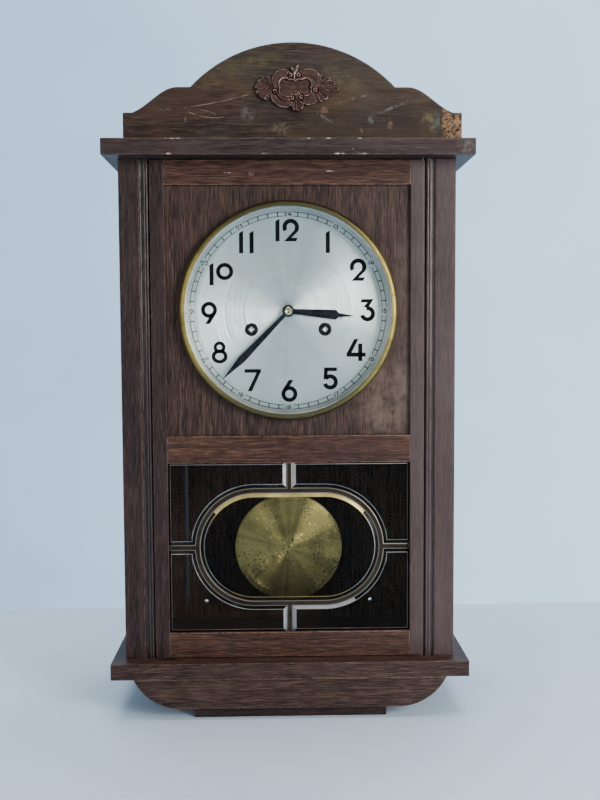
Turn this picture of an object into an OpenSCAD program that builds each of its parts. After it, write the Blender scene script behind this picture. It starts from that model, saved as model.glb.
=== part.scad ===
// Spring-driven wall clock with a striking train, a glazed door and a pendulum.
// Millimetres. X runs to the clock's right as seen from the front, the front faces -Y,
// Z is up, and the origin lies under the middle of the foot.

/* [Case] */
// Width of the case over its side boards
case_w = 326; // [316:1:346]
// Depth of the case from its front face to the wall
case_d = 150; // [140:1:180]
// Thickness of the side boards
side_t = 20; // [16:0.5:22]
// Thickness of the back board
back_t = 8; // [6:0.5:12]
// Width of the moulded strip beside the door
strip_w = 8.7; // [8:0.1:12]
// Depth of the moulded strip behind the front face
strip_d = 20; // [16:0.5:26]
// Radius of each small bead on the strip
bead_r = 1.2; // [0.8:0.1:1.6]
// Depth of the cove beside the beads
cove_d = 3; // [1:0.5:5]
// Width of the flat lip between the beads and the door
strip_lip = 0.4; // [0.2:0.1:1]

/* [Cornice and crest] */
// Thickness of the cornice board
cornice_t = 15.5; // [12:0.5:20]
// Overhang of the cornice at each side
cornice_side = 13.8; // [8:0.1:20]
// Overhang of the cornice at the front
cornice_front = 22; // [19:0.5:30]
// Length of the crest board
crest_w = 328.5; // [300:0.5:330]
// Height of the crest board at its peak
crest_h = 96.5; // [90:0.5:105]
// Thickness of the crest board
crest_t = 19; // [14:0.5:22]
// Distance of the crest board behind the case's front face
crest_back = 8; // [5:0.5:30]
// Height of the square blocks at the ends of the crest
crest_block_h = 29.8; // [22:0.1:36]
// Length of each square block
crest_block_w = 9; // [8:0.5:16]
// Half length of the big arch between its notches
arch_half = 99.4; // [90:0.1:104]
// Height of the notches beside the big arch
arch_foot_h = 53.7; // [48:0.1:58]
// Distance of the small shoulders from the crest's ends
shoulder_in = 52.5; // [48:0.5:60]
// Height of the small shoulders above the notches
shoulder_up = 0.4; // [0:0.1:3]
// Length of the carved ornament on the crest
carving_w = 86; // [70:1:100]
// Height of the carved ornament
carving_h = 44; // [34:1:50]
// Relief of the carved ornament
carving_t = 6; // [4:0.5:8]
// Height of the ornament's middle above the cornice
carving_up = 51.8; // [48:0.1:56]

/* [Base] */
// Thickness of the base shelf
shelf_t = 15.5; // [12:0.5:20]
// Overhang of the base shelf at each side
shelf_side = 12.7; // [8:0.1:18]
// Overhang of the base shelf at the front
shelf_front = 17; // [10:0.5:19]
// Height of the curved apron under the shelf
apron_h = 29.7; // [24:0.1:40]
// Length of the apron at its top edge
apron_w = 307.2; // [290:0.1:320]
// Radius of the apron's curved ends
apron_r = 52; // [44:1:60]
// Thickness of the apron's boards
apron_t = 12; // [8:0.5:16]
// Height of the foot plate
foot_h = 11.3; // [8:0.1:15]
// Length of the foot plate
foot_w = 190; // [160:1:196]
// Distance of the foot plate behind the shelf's front edge
foot_back = 8; // [4:0.5:14]

/* [Door] */
// Gap between the door and the strips beside it
door_gap = 1.1; // [1.05:0.05:2]
// Gap above and below the door
door_end_gap = 1; // [0.6:0.1:2]
// Thickness of the door frame
door_t = 20; // [18:0.5:22]
// Width of the door stiles
stile_w = 14; // [12:0.5:14.5]
// Height of the top rail
top_rail_h = 23.7; // [18:0.1:28]
// Height of the rail between the dial panel and the glass
mid_rail_h = 26.7; // [20:0.1:32]
// Height of the bottom rail
bottom_rail_h = 24.7; // [18:0.1:32]
// Height of the lower glass opening
glass_h = 169.1; // [160:0.1:180]
// Height of the dial panel between its rails
panel_h = 243.3; // [236:0.1:260]
// Depth of the lip in front of the panel and the glass
lip_t = 4; // [2:0.5:6]
// Width of the rebate behind the lip
rebate_w = 4; // [3:0.5:6]
// Thickness of the wooden dial panel
panel_t = 6; // [4:0.5:7]
// Radius of the door's pivot pins
pivot_r = 1.5; // [1:0.1:1.8]
// Length of a pivot pin in each board
pivot_l = 7; // [5:0.5:9]
// Distance of the pivot pins from the door's two near faces
pivot_in = 2.5; // [2.3:0.1:3.5]

/* [Leaded glass] */
// Thickness of the bevelled panes
pane_t = 5; // [4:0.5:6]
// Width of the flat bevel around each pane
bevel_w = 4; // [2:0.5:8]
// Depth of the bevel at a pane's edge
bevel_d = 2; // [1:0.25:3]
// Width of the brass cames
came_w = 5.4; // [4:0.1:7]
// Thickness of the cames over both sides of the panes
came_t = 7; // [6.5:0.5:9]
// Half length of the oval came, to the middle of the came
oval_half_w = 91; // [80:1:100]
// Half height of the oval came
oval_half_h = 56.5; // [45:0.5:65]

/* [Dial] */
// Height of the dial's centre above the middle of its panel
dial_up = 0.35; // [-2:0.05:2]
// Width of the dial panel between the brass bezel and each stile
bezel_side = 12.6; // [10:0.1:18]
// Width of the bezel from its outer edge to the edge of the dial in view
bezel_w = 7.2; // [7:0.1:12]
// Height of the bezel above the dial panel
bezel_h = 11; // [9:0.5:14]
// Thickness of the bezel's metal
bezel_t = 1; // [0.6:0.1:1.4]
// Thickness of the dial glass
dial_glass_t = 1.6; // [1:0.1:2.2]
// Width of the dial plate's edge behind the sight ring
dial_edge = 3.2; // [2:0.1:5]
// Thickness of the dial plate
dial_t = 1; // [0.6:0.1:1.5]
// Gap between the dial plate and the back of the dial panel
dial_gap = 1; // [0.6:0.1:2]
// Radius of the centre hole in the dial
dial_hole_r = 4.6; // [4.2:0.1:5.4]
// Distance of the winding holes from the centre line
wind_x = 36.2; // [34:0.1:40]
// Distance of the winding holes below the dial's centre
wind_drop = 17.9; // [14:0.1:20]
// Outer radius of the black grommets in the winding holes
grommet_r = 5.9; // [5.5:0.1:6.5]

/* [Hands] */
// Distance of the minute hand's tip from the sight ring
minute_tip = 5.6; // [4:0.1:16]
// Distance of the hour hand's tip from the sight ring
hour_tip = 33.3; // [28:0.1:46]
// Greatest width of the minute hand
minute_w = 7.2; // [5:0.1:9]
// Greatest width of the hour hand
hour_w = 9.7; // [7:0.1:12]
// Thickness of the hands
hand_t = 0.8; // [0.5:0.1:1.1]
// Angle of the minute hand, clockwise from twelve
minute_angle = 224.3; // [0:0.1:359]
// Angle of the hour hand, clockwise from twelve
hour_angle = 94.7; // [0:0.1:359]
// Radius of the hour hand's boss
boss_r = 5.9; // [5:0.1:7]
// Radius of the polished nut on the minute hand
cap_r = 4.1; // [3.4:0.1:5]

/* [Movement] */
// Width of the movement plates
plate_w = 128; // [126:1:140]
// Height of the movement plates
plate_h = 118; // [116:1:124]
// Thickness of the movement plates
plate_t = 2; // [1.5:0.1:3]
// Distance between the movement plates
plate_gap = 36; // [36:0.5:40]
// Distance between the dial plate and the front movement plate
motion_gap = 18; // [16:0.5:22]
// Radius of the pillars between the plates
pillar_r = 3.5; // [3:0.1:4.5]
// Distance of the pillars from the plates' edges
pillar_in = 8; // [6:0.5:10]
// Radius of the cut-outs in the plates under the barrels
plate_hole_r = 9; // [5:0.5:10]
// Clearance around every pivot and running fit
run_gap = 0.05; // [0.02:0.01:0.09]
// Radius of the pivots
pivot_small_r = 0.7; // [0.5:0.05:0.9]
// Radius of the wheel arbors
arbor_r = 1.1; // [1.0:0.05:1.15]
// Thickness of the wheels
wheel_t = 1.2; // [1:0.1:1.5]
// Radius of the centre arbor
centre_r = 1.2; // [1:0.05:1.3]
// Radius of the winding arbors
winding_r = 2.8; // [2.4:0.1:3.2]
// Width across the flats of the winding squares
square_w = 4.4; // [3.8:0.1:5]
// Teeth of each ratchet wheel
ratchet_teeth = 24; // [18:1:30]
// Radius of each ratchet wheel
ratchet_r = 8.5; // [8:0.1:9]
// Turns of each mainspring
spring_turns = 7; // [5:1:9]

/* [Pendulum] */
// Height of the suspension point above the dial's centre
suspend_up = 44; // [43:0.5:46]
// Distance of the pendulum behind the back movement plate
swing_back = 22; // [18:0.5:24]
// Distance from the suspension point down to the bob's centre
bob_drop = 296; // [285:1:300]
// Radius of the brass bob
bob_r = 57.5; // [48:0.5:62]
// Thickness of the bob at its middle
bob_t = 18; // [14:0.5:20]
// Thickness of the bob at its rim
bob_rim_t = 3; // [2:0.5:5]
// Radius of the pendulum rod
rod_r = 1.75; // [1.4:0.05:2.2]
// Radius of the rating nut
nut_r = 6; // [5:0.5:8]
// Height of the rating nut
nut_h = 5; // [4:0.5:8]
// Length of the crutch between the anchor's arbor and the pendulum rod
crutch_l = 44; // [36:1:50]

/* [Gong] */
// Radius of the gong rods
gong_r = 1.5; // [1.2:0.1:2]
// Distance of the gong rods' lower ends above the base shelf
gong_up = 37.5; // [20:0.5:60]
// Distance of the gong rods from the clock's centre line
gong_x = 106; // [103:0.5:112]
// Distance of the gong block's underside below the cornice
gong_drop = 52; // [46:1:60]
// Length of each gong rod inside its block
gong_set = 12; // [8:1:14]
// Thickness of the gong block where the rods hang
block_h = 16; // [15:1:24]

/* [Mountings] */
// Radius of the hanging eye
eye_r = 5; // [4:0.5:6]
// Thickness of the hanging plate
hanger_t = 1.5; // [1:0.1:2]
// Length of the hanging plate
hanger_w = 60; // [50:1:80]
// Height of the hanging plate
hanger_h = 20; // [16:1:24]
// Distance of the hanging eye below the cornice
hanger_drop = 42; // [36:1:60]
// Distance between the two levelling screw holes
level_x = 186; // [160:1:200]
// Radius of the levelling screw holes
level_r = 2.25; // [1.5:0.05:3]
// Height of the levelling screw holes above the base shelf
level_up = 18.5; // [14:0.5:30]

/* [Hidden] */
$fn = 72;
// Overlap that lets a cutting tool pass a surface
eps = 0.5;

// Heights of the boards, with the door's rails and openings between the shelf and the cornice
z_apron = foot_h;
z_shelf = z_apron + apron_h;
z_case = z_shelf + shelf_t;
door_z0 = z_case + door_end_gap;
glass_z0 = door_z0 + bottom_rail_h;
glass_z1 = glass_z0 + glass_h;
panel_z0 = glass_z1 + mid_rail_h;
panel_z1 = panel_z0 + panel_h;
door_z1 = panel_z1 + top_rail_h;
z_cornice = door_z1 + door_end_gap;
z_crest = z_cornice + cornice_t;
// Depths: the cornice and the back board set the middle of the depth
y_back = (case_d + cornice_front) / 2;
y_front = y_back - case_d;
y_cornice = y_front - cornice_front;
y_shelf = y_front - shelf_front;
case_in = case_w / 2 - side_t;
strip_in = case_in - strip_w;
back_in = 1;
// Reach of the cove into the side board's edge
cove_over = 0.7;
y_board = y_back - back_in - back_t;

// Offsets of the cornice, the crest and its carving from the middle, and the carving's height
cornice_shift = 1.1;
crest_shift = 5.6;
carving_x = crest_shift + 1.9;
carving_z = z_crest + carving_up;
// Room in the back board around the head of the hook, and the hanging plate's round rim
hook_room = 3;
hanger_rim = 8;
z_hanger = z_cornice - hanger_drop;
z_level = z_case + level_up;

// Door
door_half = strip_in - door_gap;
open_half = door_half - stile_w;
rebate_half = open_half + rebate_w;
y_lip = y_front + lip_t;
y_panel_back = y_lip + panel_t;
y_door_back = y_front + door_t;
hinge_x = door_half - pivot_in;
hinge_y = y_front + pivot_in;
// Play of glass and panel in their rebates
rebate_play = 0.3;
// Thickness of the beads that hold the panes
glazing_t = 6;

// Leaded glass
oval_z = (glass_z0 + glass_z1) / 2;
y_pane = y_lip;
came_web = 1.2;

// Bezel, dial and glass
dial_z = (panel_z0 + panel_z1) / 2 + dial_up;
bezel_r = open_half - bezel_side;
bezel_lip = 6.5;
glass_seat = 1.5;
glass_r = bezel_r - bezel_lip + glass_seat;
sight_r = bezel_r - bezel_w;
dial_r = sight_r + dial_edge;
panel_hole_gap = 1.5;
grommet_wall = 0.9;
grommet_lip = 0.5;
dial_foot_r = 2;
minute_len = sight_r - minute_tip;
hour_len = sight_r - hour_tip;

// Dial and movement levels, from the front to the back
y_dial = y_panel_back + dial_gap;
y_plate = y_dial + dial_t + motion_gap;
y_inside = y_plate + plate_t;
y_rear = y_inside + plate_gap;
y_rear_out = y_rear + plate_t;
y_swing = y_rear_out + swing_back;
// Height of the movement plates above the suspension point
plate_over = 14;
plate_z0 = dial_z + suspend_up + plate_over - plate_h;
post_x = plate_w / 2 - pillar_in;
post_z = [plate_z0 + pillar_in, plate_z0 + plate_h - pillar_in];
post_r = pillar_r + 1;
// Place of the cut-outs, from the middle and from the plates' lower edge
plate_hole_x = 22;
plate_hole_up = 20;
plate_hole = [plate_hole_x, plate_z0 + plate_hole_up];

// Motion work and hands, from the plate to the front
y_cannon = y_plate - 5.5;
y_minute_wheel = y_plate - 4.5;
y_hour_wheel = y_plate - 9;
y_minute_pinion = y_hour_wheel - 1;
cannon_back = 0.6;
cannon_r = 1.9;
pipe_r = 2.9;
pipe_over = 0.3;
y_hour_hand = y_dial - 4.2;
y_minute_hand = y_hour_hand - 2.8;
y_front_tip = y_minute_hand - 1.6;
// Half widths of the hands at their bosses
minute_root = 1.6;
hour_root = 2.2;

// Gears: [teeth, module]; a pair is in mesh when both share a module
barrel_teeth = 72;
barrel_m = 0.7;
barrel_pinion = 12;
second_teeth = 60;
second_m = 0.6;
centre_teeth = 90;
centre_m = 0.4;
third_teeth = 90;
third_m = 0.36;
leaf = 10;
escape_teeth = 41;
escape_r = 10.2;
pin_teeth = 60;
pin_m = 0.5;
lock_teeth = 54;
lock_m = 0.4;
warn_teeth = 50;
warn_m = 0.36;
count_teeth = 90;
count_m = 0.36;
cannon_teeth = 12;
minute_teeth = 36;
motion_m = 0.5;
hour_teeth = 40;
hour_m = 0.48;

// Place of the hammer arbor beside and above the dial's centre
hammer_out = 53;
hammer_up = 36;

// Points of the arbors on the plates, [x, z]
centre_at = [0, dial_z];
time_at = [wind_x, dial_z - wind_drop];
strike_at = [-wind_x, dial_z - wind_drop];
second_at = meet(centre_at, pitch(second_teeth, leaf, second_m),
    time_at, pitch(barrel_teeth, barrel_pinion, barrel_m));
third_at = centre_at + polar(pitch(centre_teeth, leaf, centre_m), 125);
escape_at = third_at + polar(pitch(third_teeth, leaf, third_m), 60);
anchor_at = [0, dial_z + suspend_up];
pin_at = strike_at + polar(pitch(barrel_teeth, barrel_pinion, barrel_m), 99.3);
lock_at = pin_at + polar(pitch(pin_teeth, leaf, pin_m), 60);
warn_at = lock_at + polar(pitch(lock_teeth, leaf, lock_m), 75);
fly_at = warn_at + polar(pitch(warn_teeth, leaf, warn_m), 160);
count_at = pin_at + polar(pitch(count_teeth, leaf, count_m), -75);
minute_at = centre_at + polar(pitch(cannon_teeth, minute_teeth, motion_m), -125);
hammer_at = [-hammer_out, dial_z + hammer_up];

// Turn of each wheel that puts its teeth in mesh with the one it drives or follows
second_pinion_turn = mesh_turn(second_at, time_at, barrel_pinion, barrel_teeth, barrel_m);
centre_pinion_turn = mesh_turn(centre_at, second_at, leaf, second_teeth, second_m);
third_pinion_turn = mesh_turn(third_at, centre_at, leaf, centre_teeth, centre_m);
escape_pinion_turn = mesh_turn(escape_at, third_at, leaf, third_teeth, third_m);
pin_pinion_turn = mesh_turn(pin_at, strike_at, barrel_pinion, barrel_teeth, barrel_m);
lock_pinion_turn = mesh_turn(lock_at, pin_at, leaf, pin_teeth, pin_m);
warn_pinion_turn = mesh_turn(warn_at, lock_at, leaf, lock_teeth, lock_m);
fly_pinion_turn = mesh_turn(fly_at, warn_at, leaf, warn_teeth, warn_m);
count_turn = mesh_turn(count_at, pin_at, count_teeth, leaf, count_m);
minute_turn = mesh_turn(minute_at, centre_at, minute_teeth, cannon_teeth, motion_m);
hour_turn = mesh_turn(centre_at, minute_at, hour_teeth, leaf, hour_m);

// Gap that keeps the pallets outside the escape wheel's teeth as the anchor rocks
pallet_gap = 1;
// Ratchet wheels and clicks in front of the front plate
ratchet_t = 1.8;
ratchet_gap = 0.3;
ratchet_depth = 1.4;
y_ratchet = y_plate - ratchet_gap - ratchet_t;
// Length of the winding squares in front of the dial plate's face
square_out = 3;
// Offset of each click's stud from its winding arbor, to the clock's outside
click_off = [2, 14.2];
click_r = 2.6;
// Studs that clicks and loose wheels turn on, and how far a stud stands past them
stud_r = 0.9;
stud_end = 1;

// Barrels: rim around the drum, wall of the drum, and the mainspring's room inside it
barrel_rim = 2.7;
barrel_wall = 1;
spring_room = 0.5;
spring_core = 1.2;

// Radius of the light arbors, and hubs and arms of the wheels
thin_r = 0.9;
hub_r = 4;
arm_w = 2;
wheel_rim = 2.6;
// Lifting pins on the pin wheel
lift_r = 0.5;
lift_at = 13;
lift_l = 4;
// Vane of the fly, and the notched disc of the count wheel
fly_w = 14.8;
fly_t = 0.8;
count_disc_r = 14.6;
notch_d = 1.6;
notch_w = 1.4;
// Gap between the back plate and what turns behind it, and the pinion of the count wheel
rear_gap = 2;
count_pinion_l = 4;

// Crutch: a strip down from the arbor, and a fork around the pendulum rod
crutch_w = 2.4;
crutch_t = 1.2;
fork_h = 1.6;
fork_reach = 4;
fork_gap = 0.4;
// Gap between the bob and the rating nut
nut_gap = 0.3;
// Suspension: the strip, and the cheeks above and below it
strip_t = 0.2;
strip_l = 9;
cheek_y = 3;
clip_h = 8;

// Suspension cock: its foot on the back plate, and the arm over the pendulum
cock_w = 32;
cock_h = 16;
cock_t = 1.6;
cock_hole_r = 3;
cock_up = 4;
cock_arm_w = 8;
cock_arm_t = 4;
clip_room = 3;

// Hammers over the gong rods, from the front to the back
y_hammers = [y_inside + 12, y_inside + 26];
gong_z = z_cornice - gong_drop;
gong_l = gong_z - z_case - gong_up;
head_drop = 24;
head_r = 4;
head_l = 9;
head_gap = 0.8;
tail_gap = 1.3;
hammer_r = 1.2;

// Wheel levels, measured back from the inside of the front plate
l_barrel = 3;
barrel_tooth_w = 2.5;
barrel_len = 19;
l_second = 25;
l_centre = 31;
l_third = 20;
l_escape = 12;
l_pin = 27;
l_lock = 16;
l_warn = 8;
pinion_over = 2;
// Pinions in mesh with the barrels
drive_at = 1;
drive_l = 6;

function pitch(a, b, m) = m * (a + b) / 2;
function polar(r, a) = [r * cos(a), r * sin(a)];
// Where circles about p and q meet, on the left of the way from p to q
function meet(p, rp, q, rq) =
    let (d = norm(q - p), u = (q - p) / d, a = (rp * rp - rq * rq + d * d) / (2 * d),
        h = sqrt(rp * rp - a * a))
    p + a * u + h * [-u[1], u[0]];
function dir(p, q) = atan2(q[1] - p[1], q[0] - p[0]);

// A drawing in the X-Z plane made solid from depth y0 to depth y1
module slab(y0, y1) {
    translate([0, y1, 0]) rotate([90, 0, 0]) linear_extrude(y1 - y0) children();
}

module rod(at, r, y0, y1) {
    slab(y0, y1) translate(at) circle(r);
}

// A turned shape on an axis along Y; heights run to the front from depth y
module turned(at, y) {
    translate([at[0], y, at[1]]) rotate([90, 0, 0]) rotate_extrude($fn = 144) children();
}

module box(x0, x1, y0, y1, z0, z1) {
    translate([x0, y0, z0]) cube([x1 - x0, y1 - y0, z1 - z0]);
}

module both_sides() {
    children();
    mirror([1, 0, 0]) children();
}

// Outline of a wheel with wedge teeth, or of a pinion with rounded leaves
module wheel_teeth(n, m) {
    r = n * m / 2;
    w = 1.22 * m / 2 / r * 180 / PI;
    polygon([for (i = [0:n - 1], s = [[-1.45, -1], [1.1, -0.34], [1.1, 0.34], [-1.45, 1]])
        polar(r + s[0] * m, 360 * i / n + s[1] * w)]);
}

module pinion_leaves(n, m) {
    r = n * m / 2;
    w = 0.98 * m / 2 / r * 180 / PI;
    profile = [[-1.6, -1], [0, -1], [0.45, -0.72], [0.75, -0.34]];
    polygon([for (i = [0:n - 1], k = [0:7])
        let (s = k < 4 ? profile[k] : [profile[7 - k][0], -profile[7 - k][1]])
        polar(r + s[0] * m, 360 * i / n + s[1] * w)]);
}

// A wheel drawing with its rim crossed out into four arms
module crossed_wheel(n, m) {
    rim = n * m / 2 - wheel_rim;
    difference() {
        wheel_teeth(n, m);
        circle(rim);
    }
    square([2 * rim + eps, arm_w], center = true);
    square([arm_w, 2 * rim + eps], center = true);
    circle(hub_r);
}

// Turn that puts a gap of the n teeth at "at" where a tooth of the wheel at "from" points
function mesh_turn(at, from, n, n_from, m) =
    let (a = dir(from, at)) a + 180 + 180 / n + a * n_from / n;

// Steel arbor with a pivot at each end
module arbor(at, r = arbor_r, back = 0) {
    rod(at, r, y_inside + run_gap, y_rear - run_gap);
    rod(at, pivot_small_r, y_plate, y_rear_out + back);
}

module side_boards() {
    color("#3d2b26") both_sides()
        box(case_in, case_w / 2, y_front, y_back, z_case, z_cornice);
}

// Moulded strip: two beads by the door, then a cove against the side board
module bead_strips() {
    bead_x = strip_in + strip_lip + bead_r;
    color("#3a2823") both_sides() translate([0, 0, z_case]) linear_extrude(z_cornice - z_case) {
        difference() {
            translate([strip_in, y_front + bead_r])
                square([strip_w, strip_d - bead_r]);
            translate([case_in - cove_d + cove_over, y_front]) circle(cove_d);
            translate([strip_in - eps, y_front + bead_r - eps])
                square([strip_lip + eps, bead_r + eps]);
        }
        for (k = [0, 1])
            translate([bead_x + 2 * bead_r * k, y_front + bead_r]) circle(bead_r);
    }
}

module back_board() {
    color("#2c1d18") difference() {
        box(-case_in, case_in, y_board, y_board + back_t, z_case, z_cornice);
        both_sides() rod([level_x / 2, z_level], level_r, y_board - eps, y_back + eps);
        rod([0, z_hanger], eye_r + hook_room, y_board - eps, y_back + eps);
        slab(y_back - hanger_t, y_back + eps) hanger_outline();
    }
}

module cornice_board() {
    half = case_w / 2 + cornice_side;
    color("#4a3833") difference() {
        box(cornice_shift - half, cornice_shift + half, y_cornice, y_back, z_cornice, z_crest);
        translate([hinge_x, hinge_y, z_cornice - eps])
            cylinder(r = pivot_r + run_gap, h = pivot_l + eps);
    }
}

// Right half of the crest: end block, hollow sweep, small shoulder and big arch
module crest_half() {
    half = crest_w / 2;
    shoulder_x = half - shoulder_in;
    shoulder_h = arch_foot_h + shoulder_up;
    sweep = half - crest_block_w - shoulder_x;
    drop = shoulder_h - crest_block_h;
    rise = crest_h - arch_foot_h;
    arch_r = (arch_half * arch_half + rise * rise) / (2 * rise);
    square([half, crest_block_h]);
    square([arch_half, arch_foot_h]);
    square([shoulder_x, shoulder_h]);
    intersection() {
        translate([0, crest_h - arch_r]) circle(arch_r, $fn = 180);
        translate([0, arch_foot_h - eps]) square([arch_half, crest_h]);
    }
    polygon(concat([[shoulder_x, 0], [half - crest_block_w, 0]],
        [for (i = [0:12]) let (t = 1 - i / 12, s = (1 - cos(180 * t)) / 2)
            [shoulder_x + sweep * t, shoulder_h - drop * (0.66 * s + 0.34 * t * t)]]));
}

module crest_board() {
    y = y_front + crest_back;
    color("#443730") slab(y, y + crest_t) translate([crest_shift, z_crest]) {
        crest_half();
        mirror([1, 0]) crest_half();
    }
}

// Carved cartouche: a lobed shield between two leafy wings
module crest_carving() {
    y = y_front + crest_back;
    lobe = carving_h / 7;
    color("#6b3f30") slab(y - carving_t, y)
        translate([carving_x, carving_z]) {
            for (i = [0:9])
                translate([carving_w * 0.2 * cos(36 * i), carving_h * 0.33 * sin(36 * i)])
                    circle(lobe);
            square([carving_w * 0.42, carving_h * 0.6], center = true);
            for (s = [-1, 1], k = [0:3])
                translate([s * carving_w * (0.27 + 0.055 * k), carving_h * (0.02 * k - 0.06)])
                    circle(carving_h * (0.25 - 0.045 * k));
            translate([0, carving_h / 2 - lobe * 0.8]) circle(lobe * 0.8);
        }
}

module shelf_board() {
    half = case_w / 2 + shelf_side;
    color("#45322b") difference() {
        box(-half, half, y_shelf, y_back, z_shelf, z_case);
        translate([hinge_x, hinge_y, z_case - pivot_l])
            cylinder(r = pivot_r + run_gap, h = pivot_l + eps);
    }
}

// Outline of the apron, its lower corners swept round; grown inwards by "inset"
module apron_outline(inset) {
    half = apron_w / 2 - inset;
    r = apron_r - inset;
    depth = apron_h - inset;
    flat = apron_w / 2 - sqrt(apron_r * apron_r - pow(apron_r - apron_h, 2));
    for (s = [0, 1]) mirror([s, 0]) {
        translate([0, z_shelf - depth]) square([flat, depth]);
        intersection() {
            translate([flat, z_shelf - apron_h + apron_r]) circle(r, $fn = 180);
            translate([0, z_shelf - depth]) square([half, depth]);
        }
    }
}

module apron() {
    color("#4d382f") {
        slab(y_shelf, y_shelf + apron_t) apron_outline(0);
        slab(y_shelf + apron_t, y_back) difference() {
            apron_outline(0);
            apron_outline(apron_t);
            square([foot_w, 4 * z_shelf], center = true);
        }
    }
}

module foot_plate() {
    color("#2a1e1a")
        box(-foot_w / 2, foot_w / 2, y_shelf + foot_back, y_back, 0, foot_h);
}

module hanger_outline() {
    translate([0, z_hanger]) {
        square([hanger_w, hanger_h], center = true);
        circle(eye_r + hanger_rim);
    }
}

// Steel plate let into the back board, with the hanging eye
module hanger_plate() {
    color("#8a8a86") difference() {
        slab(y_back - hanger_t, y_back) hanger_outline();
        rod([0, z_hanger], eye_r, y_board, y_back + eps);
    }
}

// Stile seen from above: rebated behind, its outer front corner round on the hinge side
module stile_section(round) {
    difference() {
        translate([open_half, y_front]) square([stile_w, door_t]);
        translate([open_half - eps, y_lip]) square([rebate_w + eps, door_t]);
        if (round)
            difference() {
                translate([hinge_x, y_front - eps]) square([pivot_in + eps, pivot_in + eps]);
                translate([hinge_x, hinge_y]) circle(pivot_in);
            }
    }
}

module door_stiles() {
    color("#46342f") {
        difference() {
            translate([0, 0, door_z0]) linear_extrude(door_z1 - door_z0)
                stile_section(true);
            for (z = [door_z0 - eps, door_z1 - pivot_l])
                translate([hinge_x, hinge_y, z]) cylinder(r = pivot_r, h = pivot_l + eps);
        }
        mirror([1, 0, 0]) translate([0, 0, door_z0]) linear_extrude(door_z1 - door_z0)
            stile_section(false);
    }
}

// Rail between the stiles, rebated at its upper and lower edge where asked
module rail(z0, z1, lower, upper) {
    difference() {
        box(-rebate_half, rebate_half, y_front, y_door_back, z0, z1);
        both_sides() box(open_half, rebate_half + eps, y_front - eps, y_lip, z0 - eps, z1 + eps);
        if (lower) rebate(z0 - eps, z0 + rebate_w);
        if (upper) rebate(z1 - rebate_w, z1 + eps);
    }
}

module rebate(z0, z1) {
    box(-rebate_half - eps, rebate_half + eps, y_lip, y_door_back + eps, z0, z1);
}

module door_rails() {
    color("#5d4034") {
        rail(door_z0, glass_z0, false, true);
        rail(glass_z1, panel_z0, true, true);
        rail(panel_z1, door_z1, true, false);
    }
}

module dial_panel() {
    color("#4b3a34") slab(y_lip, y_panel_back) difference() {
        translate([-rebate_half + rebate_play, panel_z0 - rebate_w + rebate_play])
            square([2 * (rebate_half - rebate_play),
                panel_z1 - panel_z0 + 2 * (rebate_w - rebate_play)]);
        translate(centre_at) circle(sight_r + panel_hole_gap, $fn = 144);
    }
}

module bezel() {
    t = bezel_t;
    r = bezel_r;
    h = bezel_h;
    color("#b59a4c") turned(centre_at, y_lip) polygon([[r, 0], [r, h * 0.4],
        [r - 0.8, h * 0.75], [r - 2.4, h - 0.3], [r - 4.2, h], [r - bezel_lip, h],
        [r - bezel_lip, h - t], [r - 4.2 - t / 2, h - t], [r - 2.4 - t, h - t - 0.4],
        [r - 0.8 - t, h * 0.72], [r - t, h * 0.38], [r - t, 0]]);
}

module dial_glass() {
    h = bezel_h - bezel_t;
    color("#dfe8ea", 0.3) turned(centre_at, y_lip)
        translate([0, h - dial_glass_t]) square([glass_r, dial_glass_t]);
}

// Sloping ring that holds the glass up against the bezel's lip
module sight_ring() {
    h = bezel_h - bezel_t - dial_glass_t;
    t = bezel_t;
    r = glass_r;
    color("#a68d45") turned(centre_at, y_lip) polygon([[sight_r, 0], [r - t, h], [r, h],
        [r, h - t], [r + 0.4 - t, h - t], [sight_r + t + 0.6, t],
        [bezel_r - 2 * t, t], [bezel_r - 2 * t, 0]]);
}

// Stadium outline around the centre of the lower glass
module oval(grow) {
    r = oval_half_h + grow;
    straight = oval_half_w - oval_half_h;
    for (s = [-1, 1]) translate([s * straight, oval_z]) circle(r, $fn = 144);
    translate([-straight, oval_z - r]) square([2 * straight, 2 * r]);
}

// Glass opening cut into four by the straight cames
module corner_outline(grow) {
    w = rebate_half - rebate_play - grow;
    z0 = glass_z0 - rebate_w + rebate_play + grow;
    z1 = glass_z1 + rebate_w - rebate_play - grow;
    difference() {
        translate([-w, z0]) square([2 * w, z1 - z0]);
        oval(came_web / 2 + grow);
        translate([-w - eps, oval_z - came_web / 2 - grow])
            square([2 * w + 2 * eps, came_web + 2 * grow]);
        translate([-came_web / 2 - grow, z0 - eps])
            square([came_web + 2 * grow, z1 - z0 + 2 * eps]);
    }
}

// Panes stepped down at their edges where the bevel lies
module glass_panes() {
    color("#aebcc0", 0.3) {
        slab(y_pane, y_pane + pane_t) oval(-came_web / 2 - came_w / 2 - bevel_w);
        slab(y_pane + bevel_d, y_pane + pane_t) oval(-came_web / 2);
        slab(y_pane, y_pane + pane_t) corner_outline(came_w / 2 + bevel_w);
        slab(y_pane + bevel_d, y_pane + pane_t) corner_outline(0);
    }
}

// H-section brass cames: a web between the panes and a flat leaf on each side
module came_drawing(width) {
    difference() {
        oval(width / 2);
        oval(-width / 2);
    }
    for (s = [-1, 1]) {
        x0 = s > 0 ? oval_half_w : -rebate_half + rebate_play;
        translate([x0, oval_z - width / 2])
            square([rebate_half - rebate_play - oval_half_w, width]);
        z0 = s > 0 ? oval_z + oval_half_h : glass_z0 - rebate_w + rebate_play;
        translate([-width / 2, z0])
            square([width, glass_z1 + rebate_w - rebate_play - oval_z - oval_half_h]);
    }
}

module came_inside(width) {
    intersection() {
        came_drawing(width);
        translate([-open_half + rebate_play, glass_z0 + rebate_play])
            square([2 * (open_half - rebate_play), glass_h - 2 * rebate_play]);
    }
}

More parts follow.
